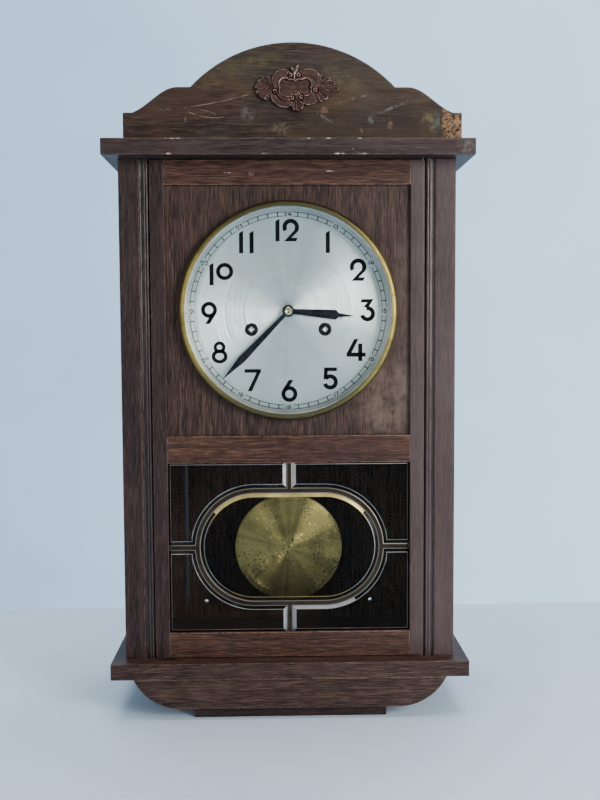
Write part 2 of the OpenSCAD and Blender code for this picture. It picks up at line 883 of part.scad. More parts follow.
module came_frame() {
    leaf_t = (came_t - (pane_t - bevel_d)) / 2;
    y_web = y_pane + bevel_d;
    y_rear_leaf = y_pane + pane_t;
    color("#6f5a35") {
        slab(y_web - leaf_t, y_web) came_inside(came_w);
        slab(y_web - leaf_t, y_rear_leaf + leaf_t) came_inside(came_web);
        slab(y_web, y_rear_leaf) came_drawing(came_web);
        slab(y_rear_leaf, y_rear_leaf + leaf_t) came_inside(came_w);
    }
}

// Wooden beads behind the panes
module glazing_beads() {
    y0 = y_pane + pane_t;
    w = rebate_half;
    color("#3c2b25") difference() {
        box(-w, w, y0, y0 + glazing_t, glass_z0 - rebate_w, glass_z1 + rebate_w);
        box(-open_half, open_half, y0 - eps, y0 + glazing_t + eps, glass_z0, glass_z1);
    }
}

module door_pivots() {
    pivot_end = 1;
    pin_l = 2 * pivot_l + door_end_gap - pivot_end;
    color("#b8975a") {
        translate([hinge_x, hinge_y, z_case - pivot_l + pivot_end])
            cylinder(r = pivot_r, h = pin_l);
        translate([hinge_x, hinge_y, door_z1 - pivot_l])
            cylinder(r = pivot_r, h = pin_l);
    }
}

// Dial plate on four feet that reach back to the front movement plate
module dial_plate() {
    color("#c8d4d6") {
        slab(y_dial, y_dial + dial_t) difference() {
            translate(centre_at) circle(dial_r, $fn = 144);
            translate(centre_at) circle(dial_hole_r);
            for (at = [time_at, strike_at]) translate(at) circle(grommet_r - grommet_lip);
        }
        for (s = [-1, 1], z = post_z) rod([s * post_x, z], dial_foot_r, y_dial, y_plate);
    }
}

module dial_grommets() {
    hole = grommet_r - grommet_lip;
    bore = hole - grommet_wall;
    color("#15130f") for (at = [time_at, strike_at]) turned(at, y_dial)
        polygon([[bore, -dial_t - 0.4], [hole, -dial_t - 0.4], [hole, 0],
            [grommet_r, 0], [grommet_r, 0.5], [bore, 0.5]]);
}

// Outline and holes that both movement plates share
module plate_drawing() {
    difference() {
        translate([-plate_w / 2, plate_z0]) square([plate_w, plate_h]);
        translate(centre_at) circle(centre_r + run_gap);
        for (at = [second_at, third_at, escape_at, anchor_at, pin_at, lock_at, warn_at,
            fly_at]) translate(at) circle(pivot_small_r + run_gap);
        for (at = [time_at, strike_at]) translate(at) circle(winding_r + run_gap);
        both_sides() translate(plate_hole) circle(plate_hole_r);
    }
}

// Front plate with the studs for the clicks and the minute wheel
module front_plate() {
    color("#b39b5b") {
        slab(y_plate, y_inside) plate_drawing();
        both_sides() rod(time_at + click_off, stud_r, y_ratchet - stud_end, y_inside);
        rod(minute_at, stud_r, y_minute_pinion - stud_end, y_inside);
    }
}

// Back plate with the stud for the count wheel
module back_plate() {
    color("#b39b5b") {
        slab(y_rear, y_rear_out) plate_drawing();
        rod(count_at, stud_r, y_rear, y_rear_out + rear_gap + 2 * wheel_t + stud_end);
    }
}

module plate_pillars() {
    color("#c0a868") for (s = [-1, 1], z = post_z)
        rod([s * post_x, z], pillar_r, y_inside, y_rear);
}

// Posts that carry the movement from the back board
module movement_posts() {
    color("#77736b") for (s = [-1, 1], z = post_z)
        rod([s * post_x, z], post_r, y_rear_out, y_board);
}

// Going barrel: toothed flange, drum and cap around the winding arbor
module barrel(at) {
    r = barrel_teeth * barrel_m / 2;
    y0 = y_inside + l_barrel;
    drum_r = r - barrel_rim;
    difference() {
        union() {
            slab(y0, y0 + barrel_tooth_w) translate(at) wheel_teeth(barrel_teeth, barrel_m);
            rod(at, drum_r, y0, y0 + barrel_len);
        }
        rod(at, drum_r - barrel_wall, y0 + barrel_wall, y0 + barrel_len - barrel_wall);
        rod(at, winding_r + run_gap, y0 - eps, y0 + barrel_len + eps);
    }
}

// Spiral mainspring in the barrel's drum
module mainspring(at) {
    inset = barrel_wall + spring_room;
    r0 = winding_r + spring_core;
    r1 = barrel_teeth * barrel_m / 2 - barrel_rim - inset;
    steps = 24 * spring_turns;
    gap = (r1 - r0) / (spring_turns + 0.5);
    y0 = y_inside + l_barrel;
    slab(y0 + inset, y0 + barrel_len - inset) translate(at) polygon(concat(
        [for (i = [0:steps]) polar(r0 + gap * i / 24, 15 * i)],
        [for (i = [steps:-1:0]) polar(r0 + gap * i / 24 + gap * 0.45, 15 * i)]));
}

// Pinion around its arbor at a level behind the front plate
module pinion_at(at, n, m, turn, level, length) {
    slab(y_inside + level, y_inside + level + length) translate(at) rotate(turn)
        pinion_leaves(n, m);
}

// Crossed-out wheel at a level behind the front plate
module wheel_at(at, n, m, level) {
    slab(y_inside + level, y_inside + level + wheel_t) translate(at) crossed_wheel(n, m);
}

// Small pinion that the wheel at a level drives, a little longer than its teeth
module leaves_at(at, m, turn, level) {
    pinion_at(at, leaf, m, turn, level - pinion_over, wheel_t + 2 * pinion_over);
}

module time_barrel() {
    color("#b9a05c") barrel(time_at);
}

module strike_barrel() {
    color("#b9a05c") barrel(strike_at);
}

module time_mainspring() {
    color("#5d6166") mainspring(time_at);
}

module strike_mainspring() {
    color("#5d6166") mainspring(strike_at);
}

// Ratchet wheel with saw teeth
module ratchet_drawing() {
    n = ratchet_teeth;
    polygon([for (i = [0:n - 1], s = [[0, 0], [ratchet_depth, 0.12]])
        polar(ratchet_r - s[0], 360 * (i + s[1]) / n)]);
}

// Winding arbor with its ratchet wheel, and a square end that reaches through the dial
module winding_arbor(at) {
    rod(at, winding_r, y_ratchet, y_rear_out);
    slab(y_ratchet, y_ratchet + ratchet_t) translate(at) ratchet_drawing();
    slab(y_dial - square_out, y_ratchet + ratchet_t) translate(at) rotate(45)
        square([square_w, square_w], center = true);
}

module time_winding_arbor() {
    color("#8b8d8f") winding_arbor(time_at);
}

module strike_winding_arbor() {
    color("#8b8d8f") winding_arbor(strike_at);
}

// Click: a pawl on a shouldered stud, its nose just clear of the ratchet's teeth
module click(at, side) {
    slab(y_ratchet, y_ratchet + ratchet_t) translate(at) mirror([side < 0 ? 1 : 0, 0])
        difference() {
            union() {
                translate(click_off) circle(click_r);
                polygon([click_off + [-2.2, -1.2], click_off + [2.2, -1.4],
                    [5.6, ratchet_r - 0.6], [2.6, ratchet_r + 0.45]]);
            }
            circle(ratchet_r + 0.2);
            translate(click_off) circle(stud_r + run_gap);
        }
}

module time_click() {
    color("#7d7f82") click(time_at, 1);
}

module strike_click() {
    color("#7d7f82") click(strike_at, -1);
}

module second_wheel() {
    color("#c2a963") {
        arbor(second_at);
        pinion_at(second_at, barrel_pinion, barrel_m, second_pinion_turn, drive_at, drive_l);
        wheel_at(second_at, second_teeth, second_m, l_second);
    }
}

// Centre arbor: runs through the dial and carries the minute hand
module centre_wheel() {
    color("#c2a963") {
        rod(centre_at, centre_r, y_front_tip, y_rear_out);
        leaves_at(centre_at, second_m, centre_pinion_turn, l_second);
        wheel_at(centre_at, centre_teeth, centre_m, l_centre);
    }
}

module third_wheel() {
    color("#c2a963") {
        arbor(third_at);
        leaves_at(third_at, centre_m, third_pinion_turn, l_centre);
        wheel_at(third_at, third_teeth, third_m, l_third);
    }
}

// Escape wheel with long raked teeth
module escape_wheel() {
    n = escape_teeth;
    color("#c2a963") {
        arbor(escape_at, thin_r);
        leaves_at(escape_at, third_m, escape_pinion_turn, l_third);
        slab(y_inside + l_escape, y_inside + l_escape + wheel_t) translate(escape_at)
            difference() {
                polygon([for (i = [0:n - 1], s = [[-1.9, -0.34], [0, 0], [-1.9, 0.1]])
                    polar(escape_r + s[0], 360 * (i + s[1]) / n)]);
                for (k = [0:3]) rotate(90 * k + 45) translate([4.8, 0]) circle(1.9);
            }
    }
}

// Bent strip anchor over the escape wheel, its arbor and the crutch behind the plates
module pallet_anchor() {
    y0 = y_inside + l_escape - 0.8;
    color("#85878a") {
        arbor(anchor_at, thin_r, fork_reach);
        slab(y0, y0 + wheel_t + 1.6) translate(escape_at) anchor_drawing();
        crutch();
    }
}

// Two arched arms that end beside the escape wheel, and a stem up to the arbor
module anchor_drawing() {
    d = norm(anchor_at - escape_at);
    clear = escape_r + pallet_gap;
    arm = 1.8;
    reach = 52;
    rotate(dir(anchor_at, escape_at) + 180) {
        difference() {
            circle(clear + arm);
            circle(clear);
            for (s = [-1, 1]) rotate(s * reach + (s > 0 ? 0 : -180))
                translate([-2 * clear, 0]) square([4 * clear, 2 * clear]);
        }
        translate([clear + arm / 3, -arm]) square([d - clear - arm / 3, 2 * arm]);
    }
}

// Strip down from the arbor with a fork around the pendulum rod
module crutch() {
    y0 = y_rear_out + rear_gap;
    y1 = y0 + crutch_t;
    y_fork = y_swing - fork_reach;
    z0 = anchor_at[1] - crutch_l;
    z1 = z0 + fork_h;
    fork_in = rod_r + fork_gap;
    rod(anchor_at, 2.2, y0, y0 + 2);
    box(-crutch_w / 2, crutch_w / 2, y0, y1, z0, anchor_at[1] - 1.5);
    box(-crutch_w / 2, crutch_w / 2, y0, y_fork, z0, z1);
    both_sides() box(fork_in, fork_in + 1, y_fork - 1, y_swing + fork_reach, z0, z1);
    box(-fork_in - 1, fork_in + 1, y_fork - 1, y_fork, z0, z1);
}

// Pinion and pipe on the centre arbor that carry the minute hand
module cannon_pinion() {
    color("#b9a05c") difference() {
        union() {
            slab(y_cannon, y_plate - cannon_back) translate(centre_at)
                pinion_leaves(cannon_teeth, motion_m);
            rod(centre_at, cannon_r, y_minute_hand, y_plate - cannon_back);
        }
        rod(centre_at, centre_r, y_minute_hand - eps, y_plate);
    }
}

module minute_wheel() {
    color("#c2a963") {
        slab(y_minute_wheel, y_minute_wheel + wheel_t) translate(minute_at)
            difference() {
                rotate(minute_turn) wheel_teeth(minute_teeth, motion_m);
                circle(stud_r + run_gap);
            }
        slab(y_minute_pinion, y_minute_wheel + wheel_t) translate(minute_at) difference() {
            pinion_leaves(leaf, hour_m);
            circle(stud_r + run_gap);
        }
    }
}

module hour_wheel() {
    color("#c2a963") difference() {
        union() {
            slab(y_hour_wheel, y_hour_wheel + wheel_t) translate(centre_at)
                rotate(hour_turn) wheel_teeth(hour_teeth, hour_m);
            rod(centre_at, pipe_r, y_hour_hand - hand_t - pipe_over,
                y_hour_wheel + wheel_t);
        }
        rod(centre_at, cannon_r + run_gap, y_minute_hand, y_plate);
    }
}

// Minute hand: widens to its shoulders, then runs to a sharp point
module minute_hand() {
    l = minute_len;
    w = minute_w / 2;
    color("#1b1b1e") slab(y_minute_hand - hand_t, y_minute_hand) translate(centre_at)
        rotate(90 - minute_angle) difference() {
            union() {
                circle(boss_r - 1.2);
                polygon([[0, -minute_root], [l * 0.7, -w], [l, 0], [l * 0.7, w],
                    [0, minute_root]]);
            }
            circle(centre_r);
        }
}

// Hour hand: a leaf with a stepped tip
module hour_hand() {
    l = hour_len;
    w = hour_w / 2;
    color("#1b1b1e") slab(y_hour_hand - hand_t, y_hour_hand) translate(centre_at)
        rotate(90 - hour_angle) difference() {
            union() {
                circle(boss_r);
                polygon([[0, -hour_root], [l * 0.71, -w], [l * 0.75, -w * 0.4], [l, 0],
                    [l * 0.75, w * 0.4], [l * 0.71, w], [0, hour_root]]);
            }
            circle(pipe_r);
        }
}

module hand_nut() {
    h = y_minute_hand - hand_t - y_front_tip;
    color("#cbb981") turned(centre_at, y_minute_hand - hand_t)
        polygon([[centre_r, 0], [cap_r, 0], [cap_r, h * 0.6], [cap_r - 0.7, h + 0.6],
            [centre_r, h + 0.9]]);
}

module pin_wheel() {
    color("#c2a963") {
        arbor(pin_at, arbor_r, count_pinion_l + 1);
        slab(y_rear_out + 1, y_rear_out + 1 + count_pinion_l) translate(pin_at)
            pinion_leaves(leaf, count_m);
        pinion_at(pin_at, barrel_pinion, barrel_m, pin_pinion_turn, drive_at, drive_l);
        wheel_at(pin_at, pin_teeth, pin_m, l_pin);
        for (i = [0:9]) rod(pin_at + polar(lift_at, 36 * i), lift_r,
            y_inside + l_pin - lift_l, y_inside + l_pin);
    }
}

module locking_wheel() {
    color("#c2a963") {
        arbor(lock_at);
        leaves_at(lock_at, pin_m, lock_pinion_turn, l_pin);
        wheel_at(lock_at, lock_teeth, lock_m, l_lock);
    }
}

module warning_wheel() {
    color("#c2a963") {
        arbor(warn_at, thin_r);
        leaves_at(warn_at, lock_m, warn_pinion_turn, l_lock);
        slab(y_inside + l_warn, y_inside + l_warn + wheel_t) translate(warn_at)
            wheel_teeth(warn_teeth, warn_m);
    }
}

// Air brake of the striking train
module fly() {
    color("#a8935a") {
        arbor(fly_at, thin_r);
        leaves_at(fly_at, warn_m, fly_pinion_turn, l_warn);
        slab(y_inside + l_lock + wheel_t + 1, y_rear - 2) translate(fly_at)
            square([fly_w, fly_t], center = true);
    }
}

// Count wheel behind the back plate: a notch for every number of blows
module count_wheel() {
    y0 = y_rear_out + rear_gap;
    color("#c2a963") difference() {
        union() {
            slab(y0, y0 + wheel_t) translate(count_at) rotate(count_turn)
                wheel_teeth(count_teeth, count_m);
            slab(y0, y0 + 2 * wheel_t) translate(count_at) difference() {
                circle(count_disc_r);
                for (hour = [1:12])
                    rotate(4 * (hour * (hour + 1) / 2 + hour))
                        translate([count_disc_r - notch_d, -notch_w / 2])
                            square([2 * notch_d, notch_w]);
            }
        }
        rod(count_at, stud_r + run_gap, y0 - eps, y0 + 4);
    }
}

// Cock on the back plate: a foot, an arm over the pendulum and two cheeks on the strip
module suspension_cock() {
    z = anchor_at[1] + cock_up;
    z_top = z + cock_h / 2;
    half = cock_arm_w / 2;
    color("#b39b5b") {
        difference() {
            box(-cock_w / 2, cock_w / 2, y_rear_out, y_rear_out + cock_t, z - cock_h / 2, z_top);
            rod(anchor_at, cock_hole_r, y_rear_out - eps, y_rear_out + cock_t + eps);
        }
        box(-half, half, y_rear_out, y_swing + cheek_y, z_top - cock_arm_t, z_top);
        difference() {
            box(-half, half, y_swing - cheek_y, y_swing + cheek_y, z, z_top);
            box(-strip_t / 2, strip_t / 2, y_swing - cheek_y - eps, y_swing + cheek_y + eps,
                z - eps, z + clip_room);
        }
    }
}

// Thin steel strip that flexes as the pendulum swings
module suspension_spring() {
    z = anchor_at[1] + cock_up;
    half = cheek_y - 0.5;
    color("#9aa0a6") box(-strip_t / 2, strip_t / 2, y_swing - half, y_swing + half,
        z - strip_l, z + clip_room);
}

// Rod with a clip around the strip at the top and a thread for the nut below
module pendulum_rod() {
    z = anchor_at[1] - 4;
    z_end = anchor_at[1] - bob_drop - bob_r - nut_h - 4;
    color("#8a8378") {
        difference() {
            box(-2.5, 2.5, y_swing - cheek_y, y_swing + cheek_y, z - clip_h, z);
            box(-strip_t / 2, strip_t / 2, y_swing - cheek_y - 1, y_swing + cheek_y + 1,
                z - 1, z + 1);
        }
        translate([0, y_swing, z_end]) cylinder(r = rod_r, h = z - clip_h / 2 - z_end);
    }
}

// Lens-shaped bob: two spun brass shells that meet at the rim
module pendulum_bob() {
    r = bob_r;
    h = bob_t / 2;
    e = bob_rim_t / 2;
    sphere_r = (r * r + (h - e) * (h - e)) / (2 * (h - e));
    at = [0, anchor_at[1] - bob_drop];
    color("#b8a04e") difference() {
        turned(at, y_swing) intersection() {
            translate([0, h - sphere_r]) circle(sphere_r, $fn = 720);
            translate([0, -h]) square([r, 2 * h]);
            translate([0, sphere_r - h]) circle(sphere_r, $fn = 720);
        }
        translate([0, y_swing, at[1] - r - 1])
            cylinder(r = rod_r + run_gap, h = 2 * r + 2);
    }
}

module rating_nut() {
    z = anchor_at[1] - bob_drop - bob_r - nut_gap;
    color("#b8a04e") translate([0, y_swing, z - nut_h]) difference() {
        cylinder(r = nut_r, h = nut_h);
        translate([0, 0, -eps]) cylinder(r = rod_r + run_gap, h = nut_h + 2 * eps);
        for (i = [0:11]) rotate(30 * i) translate([nut_r + 0.3, 0, -eps])
            cylinder(r = 0.8, h = nut_h + 2 * eps, $fn = 24);
    }
}

// Cast block on the left side board that the gong rods hang from
module gong_block() {
    edge = 10;
    y0 = y_hammers[0] - edge;
    y1 = y_hammers[1] + edge;
    flange_t = 5;
    color("#3b3d40") difference() {
        union() {
            box(-case_in, -gong_x + edge - 2, y0, y1, gong_z, gong_z + block_h);
            box(-case_in, -case_in + flange_t, y0, y1, gong_z - block_h + 2,
                gong_z + 2 * block_h - 2);
        }
        for (y = y_hammers) translate([-gong_x, y, gong_z - eps])
            cylinder(r = gong_r, h = gong_set + eps);
    }
}

module gong_rods() {
    color("#a9a08a") for (y = y_hammers)
        translate([-gong_x, y, gong_z - gong_l])
            cylinder(r = gong_r, h = gong_l + gong_set);
}

module hammer_arbor() {
    color("#85878a") rod(hammer_at, hammer_r, y_inside, y_rear);
}

// Hammer: hub on the arbor, arm to the left, leather-tipped head, tail at the pins
module hammer(y_arm, y0, y1, y_tail) {
    head = [-gong_x + gong_r + head_gap, gong_z - head_drop];
    tail_l = norm(pin_at - hammer_at) - lift_at - lift_r - tail_gap;
    difference() {
        union() {
            rod(hammer_at, 2 * hammer_r + 0.2, y0, y1);
            slab(y_arm - 0.8, y_arm + 0.8) polygon([hammer_at + [-1, -2],
                hammer_at + [1, 2], head + [7, 3], head + [7, 0]]);
            slab(y_tail - 0.6, y_tail + 0.6) translate(hammer_at)
                rotate(dir(hammer_at, pin_at)) translate([0, -1]) square([tail_l, 2]);
        }
        rod(hammer_at, hammer_r + run_gap, y_inside, y_rear);
    }
    translate([head[0], y_arm, head[1]]) rotate([0, 90, 0]) cylinder(r = head_r, h = head_l);
}

module hammer_front() {
    color("#8f7d52") hammer(y_hammers[0], y_hammers[0] - 2, y_hammers[1] - 3.2,
        y_hammers[1] - 4);
}

module hammer_back() {
    color("#8f7d52") hammer(y_hammers[1], y_hammers[1] - 2.8, y_hammers[1] + 3,
        y_hammers[1]);
}

side_boards();
bead_strips();
back_board();
cornice_board();
crest_board();
crest_carving();
shelf_board();
apron();
foot_plate();
hanger_plate();
door_stiles();
door_rails();
dial_panel();
bezel();
sight_ring();
dial_glass();
glass_panes();
came_frame();
glazing_beads();
door_pivots();
dial_plate();
dial_grommets();
front_plate();
back_plate();
plate_pillars();
movement_posts();
time_barrel();
time_mainspring();
time_winding_arbor();
time_click();
second_wheel();
centre_wheel();
third_wheel();
escape_wheel();
pallet_anchor();
cannon_pinion();
minute_wheel();
hour_wheel();
minute_hand();
hour_hand();
hand_nut();
strike_barrel();
strike_mainspring();
strike_winding_arbor();
strike_click();
pin_wheel();
locking_wheel();
warning_wheel();
fly();
count_wheel();
suspension_cock();
suspension_spring();
pendulum_rod();
pendulum_bob();
rating_nut();
gong_block();
gong_rods();
hammer_arbor();
hammer_front();
hammer_back();
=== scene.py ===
"""Looks of the pendulum wall clock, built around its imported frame.

Lengths in this file are millimetres until a piece is delivered, colours are screen values.
"""

import logging
import math
from dataclasses import dataclass, field
from enum import Enum
from functools import cache

import bmesh
import bpy
import numpy as np
from mathutils import Matrix, Vector


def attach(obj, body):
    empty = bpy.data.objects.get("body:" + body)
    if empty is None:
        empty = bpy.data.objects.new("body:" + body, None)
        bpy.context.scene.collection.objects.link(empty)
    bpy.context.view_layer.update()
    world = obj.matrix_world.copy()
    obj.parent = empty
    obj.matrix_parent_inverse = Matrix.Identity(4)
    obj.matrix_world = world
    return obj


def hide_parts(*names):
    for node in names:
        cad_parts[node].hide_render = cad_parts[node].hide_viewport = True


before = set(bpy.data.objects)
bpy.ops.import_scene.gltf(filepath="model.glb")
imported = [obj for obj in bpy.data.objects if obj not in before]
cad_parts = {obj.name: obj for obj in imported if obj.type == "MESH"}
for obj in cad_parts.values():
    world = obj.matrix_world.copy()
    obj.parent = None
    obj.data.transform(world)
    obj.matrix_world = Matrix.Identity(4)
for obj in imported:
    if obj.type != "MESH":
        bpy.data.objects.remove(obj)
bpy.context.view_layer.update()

LOG = logging.getLogger("clock")
MM = 0.001
DIAL_X, DIAL_Z = 0.0, 400.0
FRONT = Vector((0.0, -1.0, 0.0))

Colour = tuple[float, float, float, float]
Point = tuple[float, float]


def put(name: str, data: bpy.types.ID) -> bpy.types.Object:
    """Makes an object and puts it in the scene.

    Args:
        name: Name of the object.
        data: Its mesh, light or camera.

    Returns:
        The object.
    """
    made = bpy.data.objects.new(name, data)
    bpy.context.scene.collection.objects.link(made)
    return made


def meshed(name: str, work: bmesh.types.BMesh) -> bpy.types.Mesh:
    """Turns a bmesh into a mesh.

    Args:
        name: Name of the mesh.
        work: The bmesh, freed here.

    Returns:
        The mesh.
    """
    mesh = bpy.data.meshes.new(name)
    work.to_mesh(mesh)
    work.free()
    return mesh


def points_of(made: dict[str, list]) -> list[bmesh.types.BMVert]:
    """The new points in what a bmesh operator made."""
    return [v for v in made["geom"] if isinstance(v, bmesh.types.BMVert)]


def tone(red: float, green: float, blue: float) -> Colour:
    """Turns a screen colour into a shader colour.

    Args:
        red: Red from 0 to 255.
        green: Green from 0 to 255.
        blue: Blue from 0 to 255.

    Returns:
        The linear colour with full alpha.
    """
    shares = [v / 255.0 for v in (red, green, blue)]
    linear = [s / 12.92 if s <= 0.04045 else ((s + 0.055) / 1.055) ** 2.4 for s in shares]
    return (linear[0], linear[1], linear[2], 1.0)


class Signal:
    """One value in a material that can stand in a Python expression."""

    def __init__(self, recipe: "Recipe", socket: bpy.types.NodeSocket) -> None:
        """Wraps a node's output.

        Args:
            recipe: The material that the socket belongs to.
            socket: The output to read.
        """
        self.recipe = recipe
        self.socket = socket

    def calc(self, operation: str, left: "Term", right: "Term") -> "Signal":
        """Adds one Math node.

        Args:
            operation: Name of the operation.
            left: First operand.
            right: Second operand.

        Returns:
            The result as a value.
        """
        made = self.recipe.node("ShaderNodeMath", {"operation": operation}, {0: left, 1: right})
        return Signal(self.recipe, made.outputs[0])

    def __add__(self, other: "Term") -> "Signal":
        """Sum."""
        return self.calc("ADD", self, other)

    def __radd__(self, other: "Term") -> "Signal":
        """Sum with a plain number first."""
        return self.calc("ADD", other, self)

    def __sub__(self, other: "Term") -> "Signal":
        """Difference."""
        return self.calc("SUBTRACT", self, other)

    def __rsub__(self, other: "Term") -> "Signal":
        """Difference from a plain number."""
        return self.calc("SUBTRACT", other, self)

    def __mul__(self, other: "Term") -> "Signal":
        """Product."""
        return self.calc("MULTIPLY", self, other)

    def __rmul__(self, other: "Term") -> "Signal":
        """Product with a plain number first."""
        return self.calc("MULTIPLY", other, self)

    def __truediv__(self, other: "Term") -> "Signal":
        """Quotient."""
        return self.calc("DIVIDE", self, other)

    def size(self) -> "Signal":
        """The value without its sign."""
        return self.calc("ABSOLUTE", self, 0.0)

    def between(self, low: float, high: float) -> "Signal":
        """Smooth step.

        Args:
            low: Value that gives 0.
            high: Value that gives 1.

        Returns:
            A value from 0 to 1.
        """
        made = self.recipe.node(
            "ShaderNodeMapRange",
            {"interpolation_type": "SMOOTHSTEP"},
            {"Value": self, "From Min": low, "From Max": high},
        )
        return Signal(self.recipe, made.outputs["Result"])


class Arrow(Signal):
    """A vector in a material; its operators add Vector Math nodes."""

    def calc(self, operation: str, left: "Term", right: "Term") -> "Arrow":
        """Adds one Vector Math node.

        Args:
            operation: Name of the operation.
            left: First operand.
            right: Second operand.

        Returns:
            The result as a vector.
        """
        sides = [(v, v, v) if isinstance(v, (int, float)) else v for v in (left, right)]
        made = self.recipe.node(
            "ShaderNodeVectorMath", {"operation": operation}, {0: sides[0], 1: sides[1]}
        )
        return Arrow(self.recipe, made.outputs["Vector"])

    def length(self) -> Signal:
        """Length of the vector."""
        made = self.recipe.node("ShaderNodeVectorMath", {"operation": "LENGTH"}, {0: self})
        return Signal(self.recipe, made.outputs["Value"])

    def unit(self) -> "Arrow":
        """The vector at length one."""
        made = self.recipe.node("ShaderNodeVectorMath", {"operation": "NORMALIZE"}, {0: self})
        return Arrow(self.recipe, made.outputs["Vector"])

    def parts(self) -> tuple[Signal, Signal, Signal]:
        """The vector's X, Y and Z as values."""
        made = self.recipe.node("ShaderNodeSeparateXYZ", {}, {0: self})
        return tuple(Signal(self.recipe, out) for out in made.outputs)


Term = Signal | float | tuple[float, ...]


class Recipe:
    """One material's node tree and the shorthand that fills it."""

    def __init__(self, name: str) -> None:
        """Starts an empty node tree.

        Args:
            name: Name of the material.
        """
        self.material = bpy.data.materials.new(name)
        self.material.use_nodes = True
        self.tree = self.material.node_tree
        self.tree.nodes.clear()

    def node(
        self, kind: str, settings: dict[str, object], sockets: dict[str | int, Term]
    ) -> bpy.types.Node:
        """Adds a node.

        Args:
            kind: Type of the node.
            settings: Its settings, set first; "stops" fills a colour ramp.
            sockets: Values or links of its inputs.

        Returns:
            The new node.
        """
        made = self.tree.nodes.new(kind)
        for key, value in settings.items():
            if key == "stops":
                ramp = made.color_ramp
                while len(ramp.elements) < len(value):
                    ramp.elements.new(0.5)
                for element, (place, colour) in zip(ramp.elements, value):
                    element.position = place
                    element.color = colour
            else:
                setattr(made, key, value)
        for key, value in sockets.items():
            if isinstance(value, Signal):
                self.tree.links.new(value.socket, made.inputs[key])
            else:
                made.inputs[key].default_value = value
        return made

    def place(self) -> Arrow:
        """The point on the piece, in the shared frame at rest, in metres."""
        made = self.node("ShaderNodeTexCoord", {}, {})
        return Arrow(self, made.outputs["Object"])

    def painted(self, name: str) -> Signal:
        """A value stored on the mesh.

        Args:
            name: Name of the stored value.

        Returns:
            The value, 0 where the mesh has none.
        """
        made = self.node("ShaderNodeAttribute", {"attribute_name": name}, {})
        return Signal(self, made.outputs["Fac"])

    def noise(
        self, at: Term, scale: float, detail: float = 2.0, rough: float = 0.5, lines: bool = False
    ) -> Signal:
        """Noise of one value.

        Args:
            at: Vector to read it at, or the value if it runs along one line.
            scale: Patches in one metre, or in one unit.
            detail: Number of finer layers.
            rough: Strength of the finer layers.
            lines: Whether the noise runs along one line.

        Returns:
            A value around 0.5.
        """
        made = self.node(
            "ShaderNodeTexNoise",
            {"noise_dimensions": "1D" if lines else "3D"},
            {"W" if lines else "Vector": at, "Scale": scale, "Detail": detail, "Roughness": rough},
        )
        return Signal(self, made.outputs[0])

    def drift(self, at: Arrow, scale: float, reach: float) -> Arrow:
        """Moves a point by slow noise, so that lines wander.

        Args:
            at: The point.
            scale: Patches in one metre.
            reach: Most that it moves, in metres.

        Returns:
            The moved point.
        """
        made = self.node("ShaderNodeTexNoise", {}, {"Vector": at, "Scale": scale, "Detail": 2.0})
        return at + (Arrow(self, made.outputs["Color"]) - 0.5) * (2.0 * reach)

    def spots(self, at: Arrow, scale: float, share: float, soft: float = 0.06) -> Signal:
        """Small round spots.

        Args:
            at: The point.
            scale: Cells in one metre.
            share: Radius of a spot as a share of its cell.
            soft: Width of a spot's edge.

        Returns:
            1 in a spot and 0 outside.
        """
        made = self.node("ShaderNodeTexVoronoi", {}, {"Vector": at, "Scale": scale})
        return 1.0 - Signal(self, made.outputs["Distance"]).between(share, share + soft)

    def ramp(self, value: Signal, stops: list[tuple[float, Colour]]) -> Signal:
        """A colour picked by a value.

        Args:
            value: The value.
            stops: Places and colours of the ramp.

        Returns:
            The colour.
        """
        made = self.node("ShaderNodeValToRGB", {"stops": stops}, {"Fac": value})
        return Signal(self, made.outputs["Color"])

    def blend(self, under: Term, over: Term, share: Term) -> Signal:
        """Mixes two colours.

        Args:
            under: Colour at share 0.
            over: Colour at share 1.
            share: How much of the second shows.

        Returns:
            The mixed colour.
        """
        made = self.node("ShaderNodeMix", {"data_type": "RGBA"}, {0: share, 6: under, 7: over})
        return Signal(self, made.outputs[2])

    def relief(self, height: Signal, strength: float, depth: float) -> Signal:
        """A normal bent by a height.

        Args:
            height: The height, about 0 to 1.
            strength: How much of it shows.
            depth: Depth of a height of 1, in millimetres.

        Returns:
            The normal.
        """
        made = self.node(
            "ShaderNodeBump", {}, {"Strength": strength, "Distance": depth * MM, "Height": height}
        )
        return Signal(self, made.outputs["Normal"])

    def turned(
        self, centre: Point, pitch: float, slope: float, flat: float = 1.0, lean: float = 0.0
    ) -> Arrow:
        """A normal bent by the fine rings that a lathe leaves round an axis along Y.

        Args:
            centre: X and Z of the axis, in millimetres.
            pitch: Rings in one metre.
            slope: Steepness of the rings.
            flat: How much of the surface's own slope is kept.
            lean: How far the part hangs forward, in radians.

        Returns:
            The bent normal.
        """
        arm = (self.place() - (centre[0] * MM, 0.0, centre[1] * MM)) * (1.0, 0.0, 1.0)
        groove = self.noise(arm.length(), pitch, 2.0, 0.7, lines=True) - 0.5
        made = self.node(
            "ShaderNodeVectorTransform",
            {"vector_type": "VECTOR", "convert_from": "OBJECT", "convert_to": "WORLD"},
            {"Vector": arm.unit() * (groove * (2.0 * slope))},
        )
        under = Arrow(self, self.node("ShaderNodeNewGeometry", {}, {}).outputs["Normal"])
        hung = under * (flat, 1.0, flat) - (0.0, 0.0, lean)
        return (hung + Arrow(self, made.outputs["Vector"])).unit()

    def coat(self, sockets: dict[str | int, Term]) -> bpy.types.Material:
        """Ends the tree with one Principled shader.

        Args:
            sockets: Values or links of the shader's inputs.

        Returns:
            The finished material.
        """
        shader = self.node("ShaderNodeBsdfPrincipled", {}, sockets)
        return self.end(shader)

